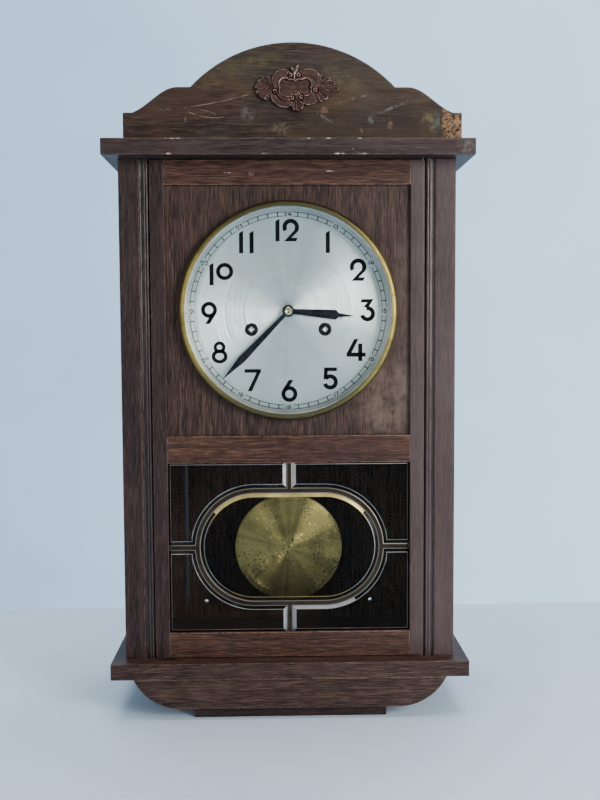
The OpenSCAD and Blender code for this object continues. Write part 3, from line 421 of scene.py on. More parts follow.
    def end(self, shader: bpy.types.Node) -> bpy.types.Material:
        """Links a shader to the material's output.

        Args:
            shader: The last shader.

        Returns:
            The finished material.
        """
        out = self.node("ShaderNodeOutputMaterial", {}, {})
        self.tree.links.new(shader.outputs[0], out.inputs["Surface"])
        return self.material


class Grain(Enum):
    """Direction of a board's grain, as the axis that it runs along."""

    LEVEL = 0
    UPRIGHT = 2


@dataclass(frozen=True)
class Scratch:
    """A line on a board's face, from one point to the other with a sag between."""

    start: Point
    end: Point
    sag: float = 0.0
    width: float = 0.6
    colour: Colour = tone(150, 140, 128)
    share: float = 0.7

    def mask(self, recipe: Recipe) -> Signal:
        """Where the line is.

        Args:
            recipe: The material that it is drawn in.

        Returns:
            Its strength on the line and 0 beside it.
        """
        x, _, z = recipe.place().parts()
        run = (x - self.start[0] * MM) / ((self.end[0] - self.start[0]) * MM)
        line = run * ((self.end[1] - self.start[1]) * MM) + self.start[1] * MM
        curve = line + run * (1.0 - run) * (4.0 * self.sag * MM)
        near = 1.0 - (z - curve).size().between(0.3 * self.width * MM, self.width * MM)
        inside = run.between(-0.01, 0.06) * (1.0 - run.between(0.9, 1.01))
        broken = recipe.noise(recipe.place(), 110.0, 3.0).between(0.36, 0.56)
        return near * inside * broken * self.share


@dataclass(frozen=True)
class Smudge:
    """A soft patch on a board's face, broken up into crumbs."""

    centre: Point
    reach: Point
    colour: Colour
    share: float = 0.6
    grain: float = 150.0
    lean: float = 0.0
    soft: float = 0.09

    def mask(self, recipe: Recipe) -> Signal:
        """Where the patch is.

        Args:
            recipe: The material that it is drawn in.

        Returns:
            Its strength in the patch and 0 outside.
        """
        x, _, z = recipe.place().parts()
        side = (x - self.centre[0] * MM) / (self.reach[0] * MM)
        rise = (z - self.centre[1] * MM) / (self.reach[1] * MM)
        rise = rise - side * (self.lean * self.reach[0] / self.reach[1])
        inside = 1.0 - (side * side + rise * rise).between(0.15, 1.0)
        crumbs = recipe.noise(recipe.place(), self.grain, 4.0, 0.7)
        return inside * crumbs.between(0.51 - self.soft, 0.51 + self.soft) * self.share


@dataclass(frozen=True)
class WoodFinish:
    """Old stained oak: finely streaked, open pored, rubbed pale along its edges, and greyed towards
    the right by a painted window sheen.
    """

    name: str
    grain: Grain
    dark: Colour
    mid: Colour
    light: Colour
    worn: Colour
    bloom: Colour
    bloom_share: float = 0.3
    wear: float = 0.8
    streak: float = 1.0
    gloss: float = 0.5
    sheen: float = 0.2
    shift: float = 0.0
    # Share of a painted window sheen that greys the colour towards the right.
    faded: float = 0.05
    bare_from: float = 0.0
    front: float | None = None
    tints: tuple[tuple[Colour, float, float], ...] = ()
    marks: tuple[Scratch | Smudge, ...] = ()

    def stretch(self, across: float, along: float) -> tuple[float, float, float]:
        """Scale of a pattern drawn out along the grain.

        Args:
            across: Patches in one metre across the grain.
            along: Patches in one metre along the grain.

        Returns:
            The scale on each axis.
        """
        scale = [across, across, across]
        scale[self.grain.value] = along
        return (scale[0], scale[1], scale[2])

    def material(self) -> bpy.types.Material:
        """Builds the material."""
        mix = Recipe(self.name)
        place = mix.place() + self.shift
        bent = mix.drift(place, 16.0, 0.0016)
        fibre = mix.noise(bent * self.stretch(1300.0, 52.0), 1.0, 3.0, 0.62)
        ring = mix.noise(bent * self.stretch(260.0, 7.0), 1.0, 3.0, 0.6)
        pore = mix.noise(bent * self.stretch(1500.0, 80.0), 1.0, 1.0).between(0.56, 0.68)
        pale = mix.noise(bent * self.stretch(1000.0, 90.0), 1.0, 2.0).between(0.58, 0.72)
        shade = (ring - 0.5) * (0.7 * self.streak) + (fibre - 0.5) * (1.8 * self.streak) + 0.5
        colour = mix.ramp(shade, [(0.26, self.dark), (0.5, self.mid), (0.78, self.light)])
        colour = mix.blend(colour, self.light, pale * 0.5)
        colour = mix.blend(colour, self.dark, pore * 0.65)
        patch = mix.noise(place, 13.0, 4.0, 0.6)
        colour = mix.blend(colour, self.bloom, patch.between(0.46, 0.72) * self.bloom_share)
        for index, (tint, scale, share) in enumerate(self.tints):
            cloud = mix.noise((place + 0.37 * index) * self.stretch(1.0, 0.4), scale, 4.0, 0.62)
            colour = mix.blend(colour, tint, cloud.between(0.48, 0.66) * share)
        crumbs = mix.noise(place, 170.0, 4.0, 0.7)
        rubbed = (mix.painted("wear") + (crumbs - 0.5) * 1.7).between(0.72, 1.25) * self.wear
        colour = mix.blend(colour, self.worn, rubbed)
        rough = self.gloss + (fibre - 0.5) * 0.3 + rubbed * 0.15
        height = fibre * 0.7 - pore * 0.9 + ring * 0.3
        x, depth, _ = mix.place().parts()
        shown: Term = 1.0
        if self.front is not None:
            shown = 1.0 - depth.between((self.front + 1.0) * MM, (self.front + 2.0) * MM)
        for mark in self.marks:
            colour = mix.blend(colour, mark.colour, mark.mask(mix) * shown)
        # Painted sheen: the colour greys towards the right, standing in for the glare of the
        # right-hand window.
        film = x.between(-0.04, 0.19) * self.faded
        colour = mix.blend(colour, tone(124, 106, 103), film * (0.7 + (patch - 0.5) * 1.2))
        if self.bare_from:
            edge = x + (crumbs - 0.5) * 0.009
            bare = edge.between((self.bare_from - 0.7) * MM, (self.bare_from + 0.7) * MM)
            raw = mix.ramp(crumbs, [(0.35, tone(66, 48, 36)), (0.65, tone(142, 110, 80))])
            worms = mix.noise(mix.place() * (1.0, 1.0, 1.4), 420.0, 2.0).between(0.53, 0.6)
            raw = mix.blend(raw, tone(34, 24, 18), worms * 0.9)
            colour = mix.blend(colour, raw, bare)
            height = height - worms * bare * 3.0
        return mix.coat(
            {
                "Base Color": colour,
                "Roughness": rough,
                "Specular IOR Level": self.sheen,
                "Normal": mix.relief(height, 0.5, 0.25),
            }
        )


@dataclass(frozen=True)
class MetalFinish:
    """Bare metal with tarnish; where it has a centre, rings from the lathe, painted fans of light
    and shade round it, and painted shade towards its top and bottom as much as asked.
    """

    name: str
    bright: Colour
    dull: Colour
    rough: float
    tarnish: float = 0.5
    metallic: float = 1.0
    centre: Point | None = None
    slope: float = 0.0
    specks: float = 0.0
    pitch: float = 2600.0
    # Share of painted shade towards the top and bottom of the centre.
    poles: float = 0.0
    flat: float = 1.0
    lean: float = 0.0
    rim: Colour | None = None

    def material(self) -> bpy.types.Material:
        """Builds the material."""
        mix = Recipe(self.name)
        place = mix.place()
        cloud = mix.noise(place, 34.0, 5.0, 0.62)
        grit = mix.noise(place, 620.0, 3.0, 0.7)
        stain = (cloud + (grit - 0.5) * 0.25).between(0.4, 0.72) * self.tarnish
        colour = mix.blend(self.bright, self.dull, stain)
        rough = self.rough + stain * 0.22 + (grit - 0.5) * 0.12
        metallic: Term = self.metallic
        if self.specks:
            patch = mix.noise(place, 24.0, 2.0).between(0.48, 0.56)
            dirt = mix.spots(mix.drift(place, 300.0, 0.0012), 260.0, 0.22) * patch * self.specks
            colour = mix.blend(colour, tone(40, 34, 22), dirt)
            rough = rough + dirt * 0.3
            metallic = self.metallic - dirt * 0.7
        normal = mix.relief(grit, 0.25, 0.06)
        if self.centre is not None:
            arm = (place - (self.centre[0] * MM, 0.0, self.centre[1] * MM)) * (1.0, 0.0, 1.0)
            # Painted fans: sectors round the centre darken, standing in for the fans of light and
            # shade on turned metal.
            painted_fans = mix.noise(arm.unit(), 2.1, 3.0, 0.6)
            colour = mix.blend(colour, self.dull, painted_fans.between(0.46, 0.6) * 0.4)
            # Painted shade: darker towards the top and bottom, where the turned ring reflects no
            # lamp.
            painted_pole_shade = arm.unit().parts()[2].size().between(0.3, 0.98) * self.poles
            colour = mix.blend(colour, tone(84, 79, 56), painted_pole_shade)
            normal = mix.turned(self.centre, self.pitch, self.slope, self.flat, self.lean)
        if self.rim is not None:
            colour = mix.blend(colour, self.rim, mix.painted("wear") * 0.8)
        return mix.coat(
            {"Base Color": colour, "Metallic": metallic, "Roughness": rough, "Normal": normal}
        )


@dataclass(frozen=True)
class PaintFinish:
    """Black enamel or blued steel: dark, glossy, faintly uneven."""

    name: str
    colour: Colour
    edge: Colour
    rough: float
    metallic: float = 0.0
    sheen: float = 0.5

    def material(self) -> bpy.types.Material:
        """Builds the material."""
        mix = Recipe(self.name)
        place = mix.place()
        cloud = mix.noise(place, 120.0, 4.0, 0.6)
        colour = mix.blend(self.colour, self.edge, cloud.between(0.45, 0.75))
        return mix.coat(
            {
                "Base Color": colour,
                "Metallic": self.metallic,
                "Roughness": self.rough + (cloud - 0.5) * 0.2,
                "Specular IOR Level": self.sheen,
                "Normal": mix.relief(mix.noise(place, 900.0, 3.0), 0.15, 0.05),
            }
        )


@dataclass(frozen=True)
class GlassFinish:
    """Clear glass as a thin sheet: what is behind it, and a reflection over it."""

    name: str
    tint: Colour
    shine: Colour
    least: float
    gain: float
    rough: float = 0.04
    film: float = 0.0

    def material(self) -> bpy.types.Material:
        """Builds the material."""
        mix = Recipe(self.name)
        facing = mix.node("ShaderNodeLayerWeight", {}, {"Blend": 0.3})
        cloud = mix.noise(mix.place(), 26.0, 3.0, 0.6).between(0.45, 0.8) * self.film
        share = Signal(mix, facing.outputs["Fresnel"]) * self.gain + self.least + cloud
        through = mix.node("ShaderNodeBsdfTransparent", {}, {"Color": self.tint})
        over = mix.node(
            "ShaderNodeBsdfGlossy",
            {},
            {"Color": self.shine, "Roughness": self.rough},
        )
        both = mix.node("ShaderNodeMixShader", {}, {"Fac": share})
        mix.tree.links.new(through.outputs[0], both.inputs[1])
        mix.tree.links.new(over.outputs[0], both.inputs[2])
        return mix.end(both)


Finish = WoodFinish | MetalFinish | PaintFinish | GlassFinish

POST = dict(
    dark=tone(22, 12, 11), mid=tone(43, 28, 27), light=tone(66, 47, 43),
    worn=tone(108, 85, 77), bloom=tone(52, 38, 38),
)
RAIL = dict(
    dark=tone(34, 18, 14), mid=tone(60, 36, 28), light=tone(92, 64, 49),
    worn=tone(138, 110, 92), bloom=tone(58, 40, 35),
)
PANEL = dict(
    dark=tone(27, 16, 13), mid=tone(52, 35, 29), light=tone(84, 62, 52),
    worn=tone(112, 89, 76), bloom=tone(62, 46, 40),
)
CREST = dict(
    dark=tone(22, 15, 13), mid=tone(46, 34, 29), light=tone(76, 61, 49),
    worn=tone(96, 80, 66), bloom=tone(54, 42, 40),
)
CHALK = tone(92, 94, 84)
DASH = tone(186, 176, 166)

# Posts, stiles and strips take a strong painted window sheen on their right side.
POSTS = WoodFinish("post_wood", Grain.UPRIGHT, **POST, wear=0.5, faded=0.34)
STILES = WoodFinish("stile_wood", Grain.UPRIGHT, **POST, wear=0.75, shift=0.31, faded=0.4)
STRIPS = WoodFinish(
    "strip_wood", Grain.UPRIGHT, **POST, wear=0.5, shift=0.17, gloss=0.34, sheen=0.4, faded=0.4,
)
RAILS = WoodFinish(
    "rail_wood", Grain.LEVEL, **RAIL, wear=0.7, bloom_share=0.2,
    marks=(
        Smudge((-57.6, 532.6), (5.0, 0.9), DASH, 0.6),
        Smudge((41.0, 534.0), (5.0, 0.9), DASH, 0.5),
        Smudge((-35.0, 532.0), (3.4, 3.0), tone(132, 104, 96), 0.5),
    ),
)
PANELS = WoodFinish(
    "panel_wood", Grain.UPRIGHT, **PANEL, wear=0.3, streak=1.1, shift=0.52,
    marks=(
        Smudge((96.0, 312.0), (44.0, 46.0), tone(112, 92, 80), 0.8, 90.0, soft=0.3),
        Smudge((112.0, 380.0), (12.0, 130.0), tone(96, 80, 72), 0.6, 90.0, soft=0.3),
    ),
)
CRESTS = WoodFinish(
    "crest_wood", Grain.LEVEL, **CREST, sheen=0.16, bloom_share=0.4, shift=0.77, bare_from=151.0,
    front=-56.0,
    tints=(
        (tone(78, 64, 40), 17.0, 0.6), (tone(66, 42, 34), 21.0, 0.5),
        (tone(44, 32, 31), 15.0, 0.6), (tone(58, 56, 48), 38.0, 0.35),
    ),
    marks=(
        Scratch((-124.3, 593.6), (-32.2, 609.7), -2.6, 0.65, tone(118, 108, 100), 0.7),
        Scratch((-96.3, 592.3), (-59.8, 587.2), -3.0, 0.6, tone(126, 110, 92), 0.7),
        Scratch((-84.3, 593.6), (-68.0, 589.0), 1.0, 0.5, tone(126, 110, 92), 0.6),
        Smudge((-98.2, 584.4), (0.8, 3.4), tone(126, 112, 102), 0.9, 60.0),
        Smudge((-44.0, 601.3), (0.8, 2.6), tone(118, 104, 84), 0.9, 60.0),
        Smudge((-6.0, 576.0), (13.0, 8.0), tone(112, 102, 86), 0.4, 420.0),
        Smudge((-38.0, 590.0), (9.0, 10.0), tone(92, 88, 84), 0.5),
        Smudge((-60.0, 628.0), (34.0, 12.0), tone(78, 68, 44), 0.6, 120.0, 0.5, 0.2),
        Smudge((-24.0, 640.0), (26.0, 9.0), tone(84, 74, 48), 0.5, 120.0, 0.2, 0.2),
        Smudge((56.0, 622.0), (26.0, 12.0), tone(86, 74, 50), 0.6, 110.0, -0.5, 0.2),
        Smudge((116.0, 588.0), (26.0, 20.0), tone(40, 27, 26), 0.7, 60.0, 0.0, 0.3),
        Smudge((52.0, 584.0), (40.0, 16.0), tone(40, 27, 26), 0.7, 60.0, 0.0, 0.3),
        Smudge((64.0, 604.4), (22.0, 1.7), CHALK, 0.7, 150.0, 0.26),
        Smudge((101.0, 595.5), (22.0, 2.0), CHALK, 0.7, 150.0, 0.42),
        Smudge((81.0, 584.0), (4.0, 5.4), CHALK, 0.6),
        Smudge((37.0, 586.0), (11.0, 2.0), CHALK, 0.7, 150.0, -0.6),
        Smudge((36.0, 594.0), (8.0, 4.0), tone(120, 90, 72), 0.6),
        Smudge((100.0, 581.0), (3.6, 7.5), tone(118, 88, 70), 0.7, 90.0, 0.3),
        Smudge((70.5, 573.0), (3.4, 3.6), tone(126, 122, 92), 0.8, 80.0),
        Smudge((62.0, 579.5), (2.2, 1.6), tone(140, 128, 108), 0.8, 80.0),
        Smudge((136.5, 580.0), (8.0, 14.0), tone(112, 98, 70), 0.6, 120.0),
        Smudge((144.5, 581.0), (5.0, 12.0), tone(84, 90, 90), 0.7, 90.0),
    ),
)
CORNICES = WoodFinish(
    "cornice_wood", Grain.LEVEL, dark=tone(25, 15, 15), mid=tone(45, 32, 31),
    light=tone(68, 52, 49), worn=tone(92, 74, 69), bloom=tone(54, 42, 42),
    bloom_share=0.4, shift=0.9, wear=0.6, front=-86.0,
    tints=((tone(66, 44, 36), 19.0, 0.4), (tone(64, 56, 52), 40.0, 0.4)),
    marks=(
        Smudge((-108.0, 561.0), (9.0, 0.9), DASH, 0.9),
        Smudge((21.0, 561.0), (3.4, 0.7), DASH, 0.9),
        Smudge((38.0, 561.0), (3.0, 0.7), DASH, 0.9),
        Smudge((67.5, 561.0), (2.4, 0.7), DASH, 0.9),
        Smudge((-112.0, 546.8), (3.4, 0.8), DASH, 1.0, 60.0),
        Smudge((-22.0, 546.8), (3.0, 0.8), DASH, 0.9, 60.0),
        Smudge((49.0, 546.8), (6.4, 0.8), DASH, 1.0, 60.0),
        Smudge((71.5, 546.8), (7.0, 0.9), DASH, 1.0, 60.0),
        Scratch((60.0, 552.2), (66.3, 547.2), 0.3, 0.6, DASH, 0.8),
        Smudge((168.0, 554.0), (10.0, 7.0), tone(104, 102, 96), 0.6),
    ),
)
SHELVES = WoodFinish("shelf_wood", Grain.LEVEL, **PANEL, wear=0.7, shift=1.3)
APRONS = WoodFinish("apron_wood", Grain.LEVEL, **PANEL, wear=0.5, shift=1.9, bloom_share=0.5)
FEET = WoodFinish(
    "foot_wood", Grain.LEVEL, dark=tone(22, 12, 11), mid=tone(38, 25, 23),
    light=tone(56, 40, 35), worn=tone(84, 66, 57), bloom=tone(42, 31, 29), shift=2.3,
)
INNER = WoodFinish(
    "inner_wood", Grain.UPRIGHT, dark=tone(34, 22, 18), mid=tone(58, 41, 34),
    light=tone(80, 60, 50), worn=tone(104, 82, 68), bloom=tone(66, 50, 43), gloss=0.65, wear=0.4,
    sheen=0.08, shift=2.9,
)
CARVED = WoodFinish(
    "carving_wood", Grain.LEVEL, dark=tone(28, 17, 14), mid=tone(58, 36, 28),
    light=tone(84, 56, 44), worn=tone(184, 150, 136), bloom=tone(66, 44, 34),
    bloom_share=0.3, wear=1.0, streak=0.5, gloss=0.42, sheen=0.3, shift=3.3,
)

# The bezel takes painted shade at its top and bottom.
BEZEL_BRASS = MetalFinish(
    "bezel_brass", tone(162, 144, 82), tone(104, 94, 56), 0.4, tarnish=0.9,
    centre=(DIAL_X, DIAL_Z), slope=1.0, specks=0.6, poles=0.95,
)
BOB_BRASS = MetalFinish(
    "bob_brass", tone(196, 178, 114), tone(72, 64, 42), 0.27, tarnish=0.55,
    centre=(0.0, 148.0), slope=1.3, specks=1.0, flat=0.6, lean=0.09,
)
CAME_BRASS = MetalFinish(
    "came_brass", tone(62, 54, 46), tone(34, 28, 24), 0.38, tarnish=0.9, rim=tone(150, 142, 130),
)
SIGHT_SILVER = MetalFinish(
    "sight_silver", tone(206, 208, 212), tone(160, 158, 160), 0.42, tarnish=0.4,
    centre=(DIAL_X, DIAL_Z), slope=0.2,
)
PLATE_BRASS = MetalFinish("movement_brass", tone(206, 178, 104), tone(140, 116, 62), 0.34)
CAP_BRASS = MetalFinish(
    "cap_brass", tone(206, 198, 178), tone(150, 138, 112), 0.22, tarnish=0.3,
    centre=(DIAL_X, DIAL_Z), slope=0.1,
)
SILVERING = MetalFinish(
    "dial_silver", tone(228, 236, 234), tone(208, 216, 208), 0.3, tarnish=0.3, metallic=0.95,
    centre=(DIAL_X, DIAL_Z), slope=1.2, pitch=7000.0,
)
STEEL = MetalFinish("steel", tone(176, 178, 180), tone(112, 110, 108), 0.32)
BRIGHT_STEEL = MetalFinish(
    "bright_steel", tone(236, 238, 240), tone(150, 150, 148), 0.34, tarnish=0.3
)
SPRING_STEEL = MetalFinish("spring_steel", tone(120, 126, 136), tone(70, 72, 80), 0.3)
GONG_BRONZE = MetalFinish("gong_bronze", tone(72, 72, 80), tone(38, 36, 36), 0.3)
HANGER_STEEL = MetalFinish("hanger_steel", tone(150, 148, 142), tone(96, 82, 66), 0.45, tarnish=0.8)
CAST_IRON = PaintFinish("cast_block", tone(48, 50, 54), tone(70, 70, 70), 0.6)
BLACK_METAL = PaintFinish("black_metal", tone(6, 6, 6), tone(24, 22, 21), 0.34, sheen=0.25)
HAND_BLACK = PaintFinish("blued_steel", tone(18, 19, 26), tone(38, 40, 52), 0.28, metallic=0.3)
INK = PaintFinish("dial_ink", tone(12, 12, 13), tone(20, 20, 22), 0.55, sheen=0.06)
DIAL_GLASS = GlassFinish("dial_glass_clear", tone(253, 255, 254), tone(235, 242, 250), 0.0, 0.1)
PANES = (
    # The last three paint glints on the arrises and chosen bevels, and the bob's gold reflection on
    # the bevels round the oval.
    GlassFinish("pane_glass", tone(240, 240, 236), tone(235, 235, 235), 0.0, 0.15),
    GlassFinish("pane_bevel", tone(150, 150, 146), tone(220, 216, 210), 0.01, 0.1, 0.35, 0.06),
    GlassFinish("pane_arris_painted_glint", tone(190, 194, 196), tone(255, 252, 250), 0.25, 0.4, 0.5, 0.3),
    GlassFinish("pane_bevel_painted_bob_reflection", tone(120, 108, 70), tone(255, 228, 150), 0.4, 0.4, 0.5, 0.5),
    GlassFinish("pane_bevel_painted_glint", tone(150, 150, 148), tone(255, 250, 250), 0.3, 0.3, 0.5, 0.3),
)

CAD_FINISHES: dict[str, Finish] = {
    node: finish
    for finish, nodes in (
        (POSTS, "side_boards"),
        (STRIPS, "bead_strips"),
        (INNER, "glazing_beads"),
        (HANGER_STEEL, "hanger_plate door_pivots"),
        (PLATE_BRASS, "front_plate back_plate plate_pillars suspension_cock rating_nut fly"),
        (PLATE_BRASS, "time_barrel strike_barrel hammer_front hammer_back cannon_pinion"),
        (PLATE_BRASS, "second_wheel centre_wheel third_wheel escape_wheel minute_wheel"),
        (PLATE_BRASS, "hour_wheel pin_wheel locking_wheel warning_wheel count_wheel"),
        (STEEL, "movement_posts time_winding_arbor strike_winding_arbor time_click strike_click"),
        (STEEL, "pallet_anchor pendulum_rod hammer_arbor"),
        (SPRING_STEEL, "time_mainspring strike_mainspring suspension_spring"),
        (CAST_IRON, "gong_block"),
        (GONG_BRONZE, "gong_rods"),
    )
    for node in nodes.split()
}


@cache
def mixed(finish: Finish) -> bpy.types.Material:
    """The material of a finish, built on first use."""
    return finish.material()


@dataclass(frozen=True)
class Ticket:
    """Name of a piece, the body it rides on, its slot, its finishes and the nodes it replaces."""

    name: str
    body: str
    slot: str
    finishes: tuple[Finish, ...]
    replaced: tuple[str, ...] = ()


def deliver(work: bmesh.types.BMesh, ticket: Ticket, sharp: float = 32.0) -> bpy.types.Object:
    """Turns a bmesh in millimetres into a finished piece that rides on its body.

    Args:
        work: The shape, freed here.
        ticket: What the piece is.
        sharp: Angle in degrees past which an edge stays sharp.

    Returns:
        The piece.
    """
    bmesh.ops.transform(work, matrix=Matrix.Scale(MM, 4), verts=work.verts[:])
    for face in work.faces:
        face.smooth = True
    mesh = meshed(ticket.name, work)
    mesh.set_sharp_from_angle(angle=math.radians(sharp))
    for finish in ticket.finishes:
        mesh.materials.append(mixed(finish))
    piece = put(ticket.name, mesh)
    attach(piece, ticket.body)
    if ticket.replaced:
        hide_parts(*ticket.replaced)
    LOG.info("%s: %d faces on body %s", ticket.name, len(mesh.polygons), ticket.body)
    return piece


def node_copy(node: str) -> bmesh.types.BMesh:
    """Copies a CAD node, merged and with its flat faces whole, in millimetres.

    Args:
        node: Name of the node.

    Returns:
        The copy.
    """
    work = bmesh.new()
    work.from_mesh(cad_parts[node].data)
    bmesh.ops.transform(work, matrix=Matrix.Scale(1.0 / MM, 4), verts=work.verts[:])
    bmesh.ops.remove_doubles(work, verts=work.verts[:], dist=0.004)
    bmesh.ops.dissolve_limit(
        work, angle_limit=math.radians(0.4), verts=work.verts[:], edges=work.edges[:]
    )
    return work


def ease(work: bmesh.types.BMesh, round_off: float, rub: float, angle: float = 35.0) -> None:
    """Rounds the sharp edges of a board and stores where it is rubbed.

    Args:
        work: The board.
        round_off: Width of the rounding.
        rub: Width of the rubbed band beside an edge.
        angle: Angle in degrees past which an edge is sharp.
    """
    wear = work.verts.layers.float.new("wear")
    least = math.radians(angle)
    sharp = [e for e in work.edges if e.is_manifold and e.calc_face_angle(0.0) > least]
    made = bmesh.ops.bevel(
        work, geom=sharp, offset=round_off, offset_type="OFFSET", segments=2, profile=0.5,
        affect="EDGES", clamp_overlap=True, material=-1,
    )
    rounded = set(made["faces"])
    for vert in work.verts:
        vert[wear] = 1.0
    flats = [f for f in work.faces if f not in rounded]
    bmesh.ops.inset_region(work, faces=flats, thickness=rub, use_boundary=True)
    for face in flats:
        for vert in face.verts:
            vert[wear] = 0.0


def spun(profile: list[Point], centre: Point, steps: int) -> bmesh.types.BMesh:
    """Turns a closed profile about an axis along Y.

    Args:
        profile: Radius and Y of each corner, in order round the section.
        centre: X and Z of the axis.
        steps: Steps round the axis.

    Returns:
        The closed ring or disc.
    """
    work = bmesh.new()
    axis = Vector((centre[0], 0.0, centre[1]))
    corners = [work.verts.new(axis + Vector((r, y, 0.0))) for r, y in profile]
    around = zip(corners, corners[1:] + corners[:1])
    edges = [
        work.edges.new(pair) for pair in around
        if max(abs(v.co.x - axis.x) for v in pair) > 1e-6
    ]
    bmesh.ops.spin(
        work, geom=corners + edges, cent=axis, axis=FRONT, angle=2.0 * math.pi, steps=steps,
        use_merge=True,
    )
    bmesh.ops.remove_doubles(work, verts=work.verts[:], dist=1e-4)
    bmesh.ops.recalc_face_normals(work, faces=work.faces[:])
    return work


def joined(parts: list[bmesh.types.BMesh]) -> bmesh.types.BMesh:
    """Puts several shapes into one.

    Args:
        parts: The shapes, freed here.

    Returns:
        The joined shape.
    """
    whole = bmesh.new()
    for part in parts:
        held = meshed("held", part)
        whole.from_mesh(held)
        bpy.data.meshes.remove(held)
    return whole


def worn_board(
    node: str, body: str, finish: WoodFinish, slot: str, round_off: float, rub: float
) -> None:
    """Replaces a board by one with rounded, rubbed edges.

    Args:
        node: The CAD node.
        body: Body that it rides on.
        finish: Its finish.
        slot: Its material slot.
        round_off: Width of the rounding.
        rub: Width of the rubbed band.
    """
    work = node_copy(node)
    ease(work, round_off, rub)
    deliver(work, Ticket(f"{node}_worn", body, slot, (finish,), (node,)))


@dataclass
class Case:
    """The fixed boards of the case."""

    round_off: float = 0.7
    rub: float = 2.4
    thin_rub: float = 1.6
    back_rub: float = 0.8

    def build(self) -> None:
        """Builds every board."""
        for node, finish, slot, rub in (
            ("side_boards", POSTS, "case_wood", self.rub),
            ("cornice_board", CORNICES, "case_wood", self.rub),
            ("crest_board", CRESTS, "crest_wood", self.thin_rub),
            ("shelf_board", SHELVES, "case_wood", self.rub),
            ("apron", APRONS, "case_wood", self.rub),
            ("foot_plate", FEET, "case_wood", self.rub),
            ("back_board", INNER, "bare_wood", self.back_rub),
        ):
            worn_board(node, "case", finish, slot, self.round_off, rub)


@dataclass
class Door:
    """Stiles, rails and the dial panel."""

    round_off: float = 0.5
    rub: float = 1.2

    def build(self) -> None:
        """Builds the wooden pieces of the door."""
        worn_board("door_stiles", "door", STILES, "rail_wood", self.round_off, self.rub)
        worn_board("door_rails", "door", RAILS, "rail_wood", self.round_off, self.rub)
        worn_board("dial_panel", "door", PANELS, "panel_wood", 0.8 * self.round_off, 1.0)


@dataclass
class Bezel:
    """Brass bezel, the sloping ring inside it and the dial glass."""

    outer: float = 106.6
    lip: float = 100.1
    seat: float = 101.6
    sight: float = 99.4
    y_panel: float = -60.0
    y_top: float = -71.0
    steps: int = 256

    def build(self) -> None:
        """Spins the ring, the sight ring and the glass."""
        y = self.y_panel
        top = self.y_top
        r = self.outer
        ring = [
            (r, y), (r, y - 4.6), (r - 0.25, y - 6.4), (r - 0.8, y - 8.0), (r - 1.7, y - 9.6),
            (r - 2.9, y - 10.6), (r - 4.1, top), (r - 5.6, top), (self.lip + 0.3, top + 0.12),
            (self.lip, top + 0.45), (self.lip + 0.1, top + 1.0), (r - 4.6, top + 1.0),
            (r - 3.4, y - 9.6), (r - 2.0, y - 8.0), (r - 1.0, y - 4.4), (r - 1.0, y),
        ]
        slope = [
            (self.sight, y), (self.sight + 0.25, y - 1.2), (self.seat - 1.0, y - 8.4),
            (self.seat, y - 8.4), (self.seat, y - 7.4), (self.seat - 0.5, y - 7.3),
            (self.sight + 1.6, y - 1.0), (r - 2.0, y - 1.0), (r - 2.0, y),
        ]
        pane = [(0.0, y - 8.4), (0.0, y - 9.9), (self.seat - 0.3, y - 9.9), (self.seat, y - 9.7),
                (self.seat, y - 8.5), (self.seat - 0.2, y - 8.4)]
        for section, name, slot, finish, node, sharp in (
            (ring, "bezel_ring", "bezel_brass", BEZEL_BRASS, "bezel", 50.0),
            (slope, "sight_ring_spun", "bezel_brass", SIGHT_SILVER, "sight_ring", 50.0),
            (pane, "dial_glass_pane", "clear_glass", DIAL_GLASS, "dial_glass", 32.0),
        ):
            work = spun(section, (DIAL_X, DIAL_Z), self.steps)
            deliver(work, Ticket(name, "door", slot, (finish,), (node,)), sharp)


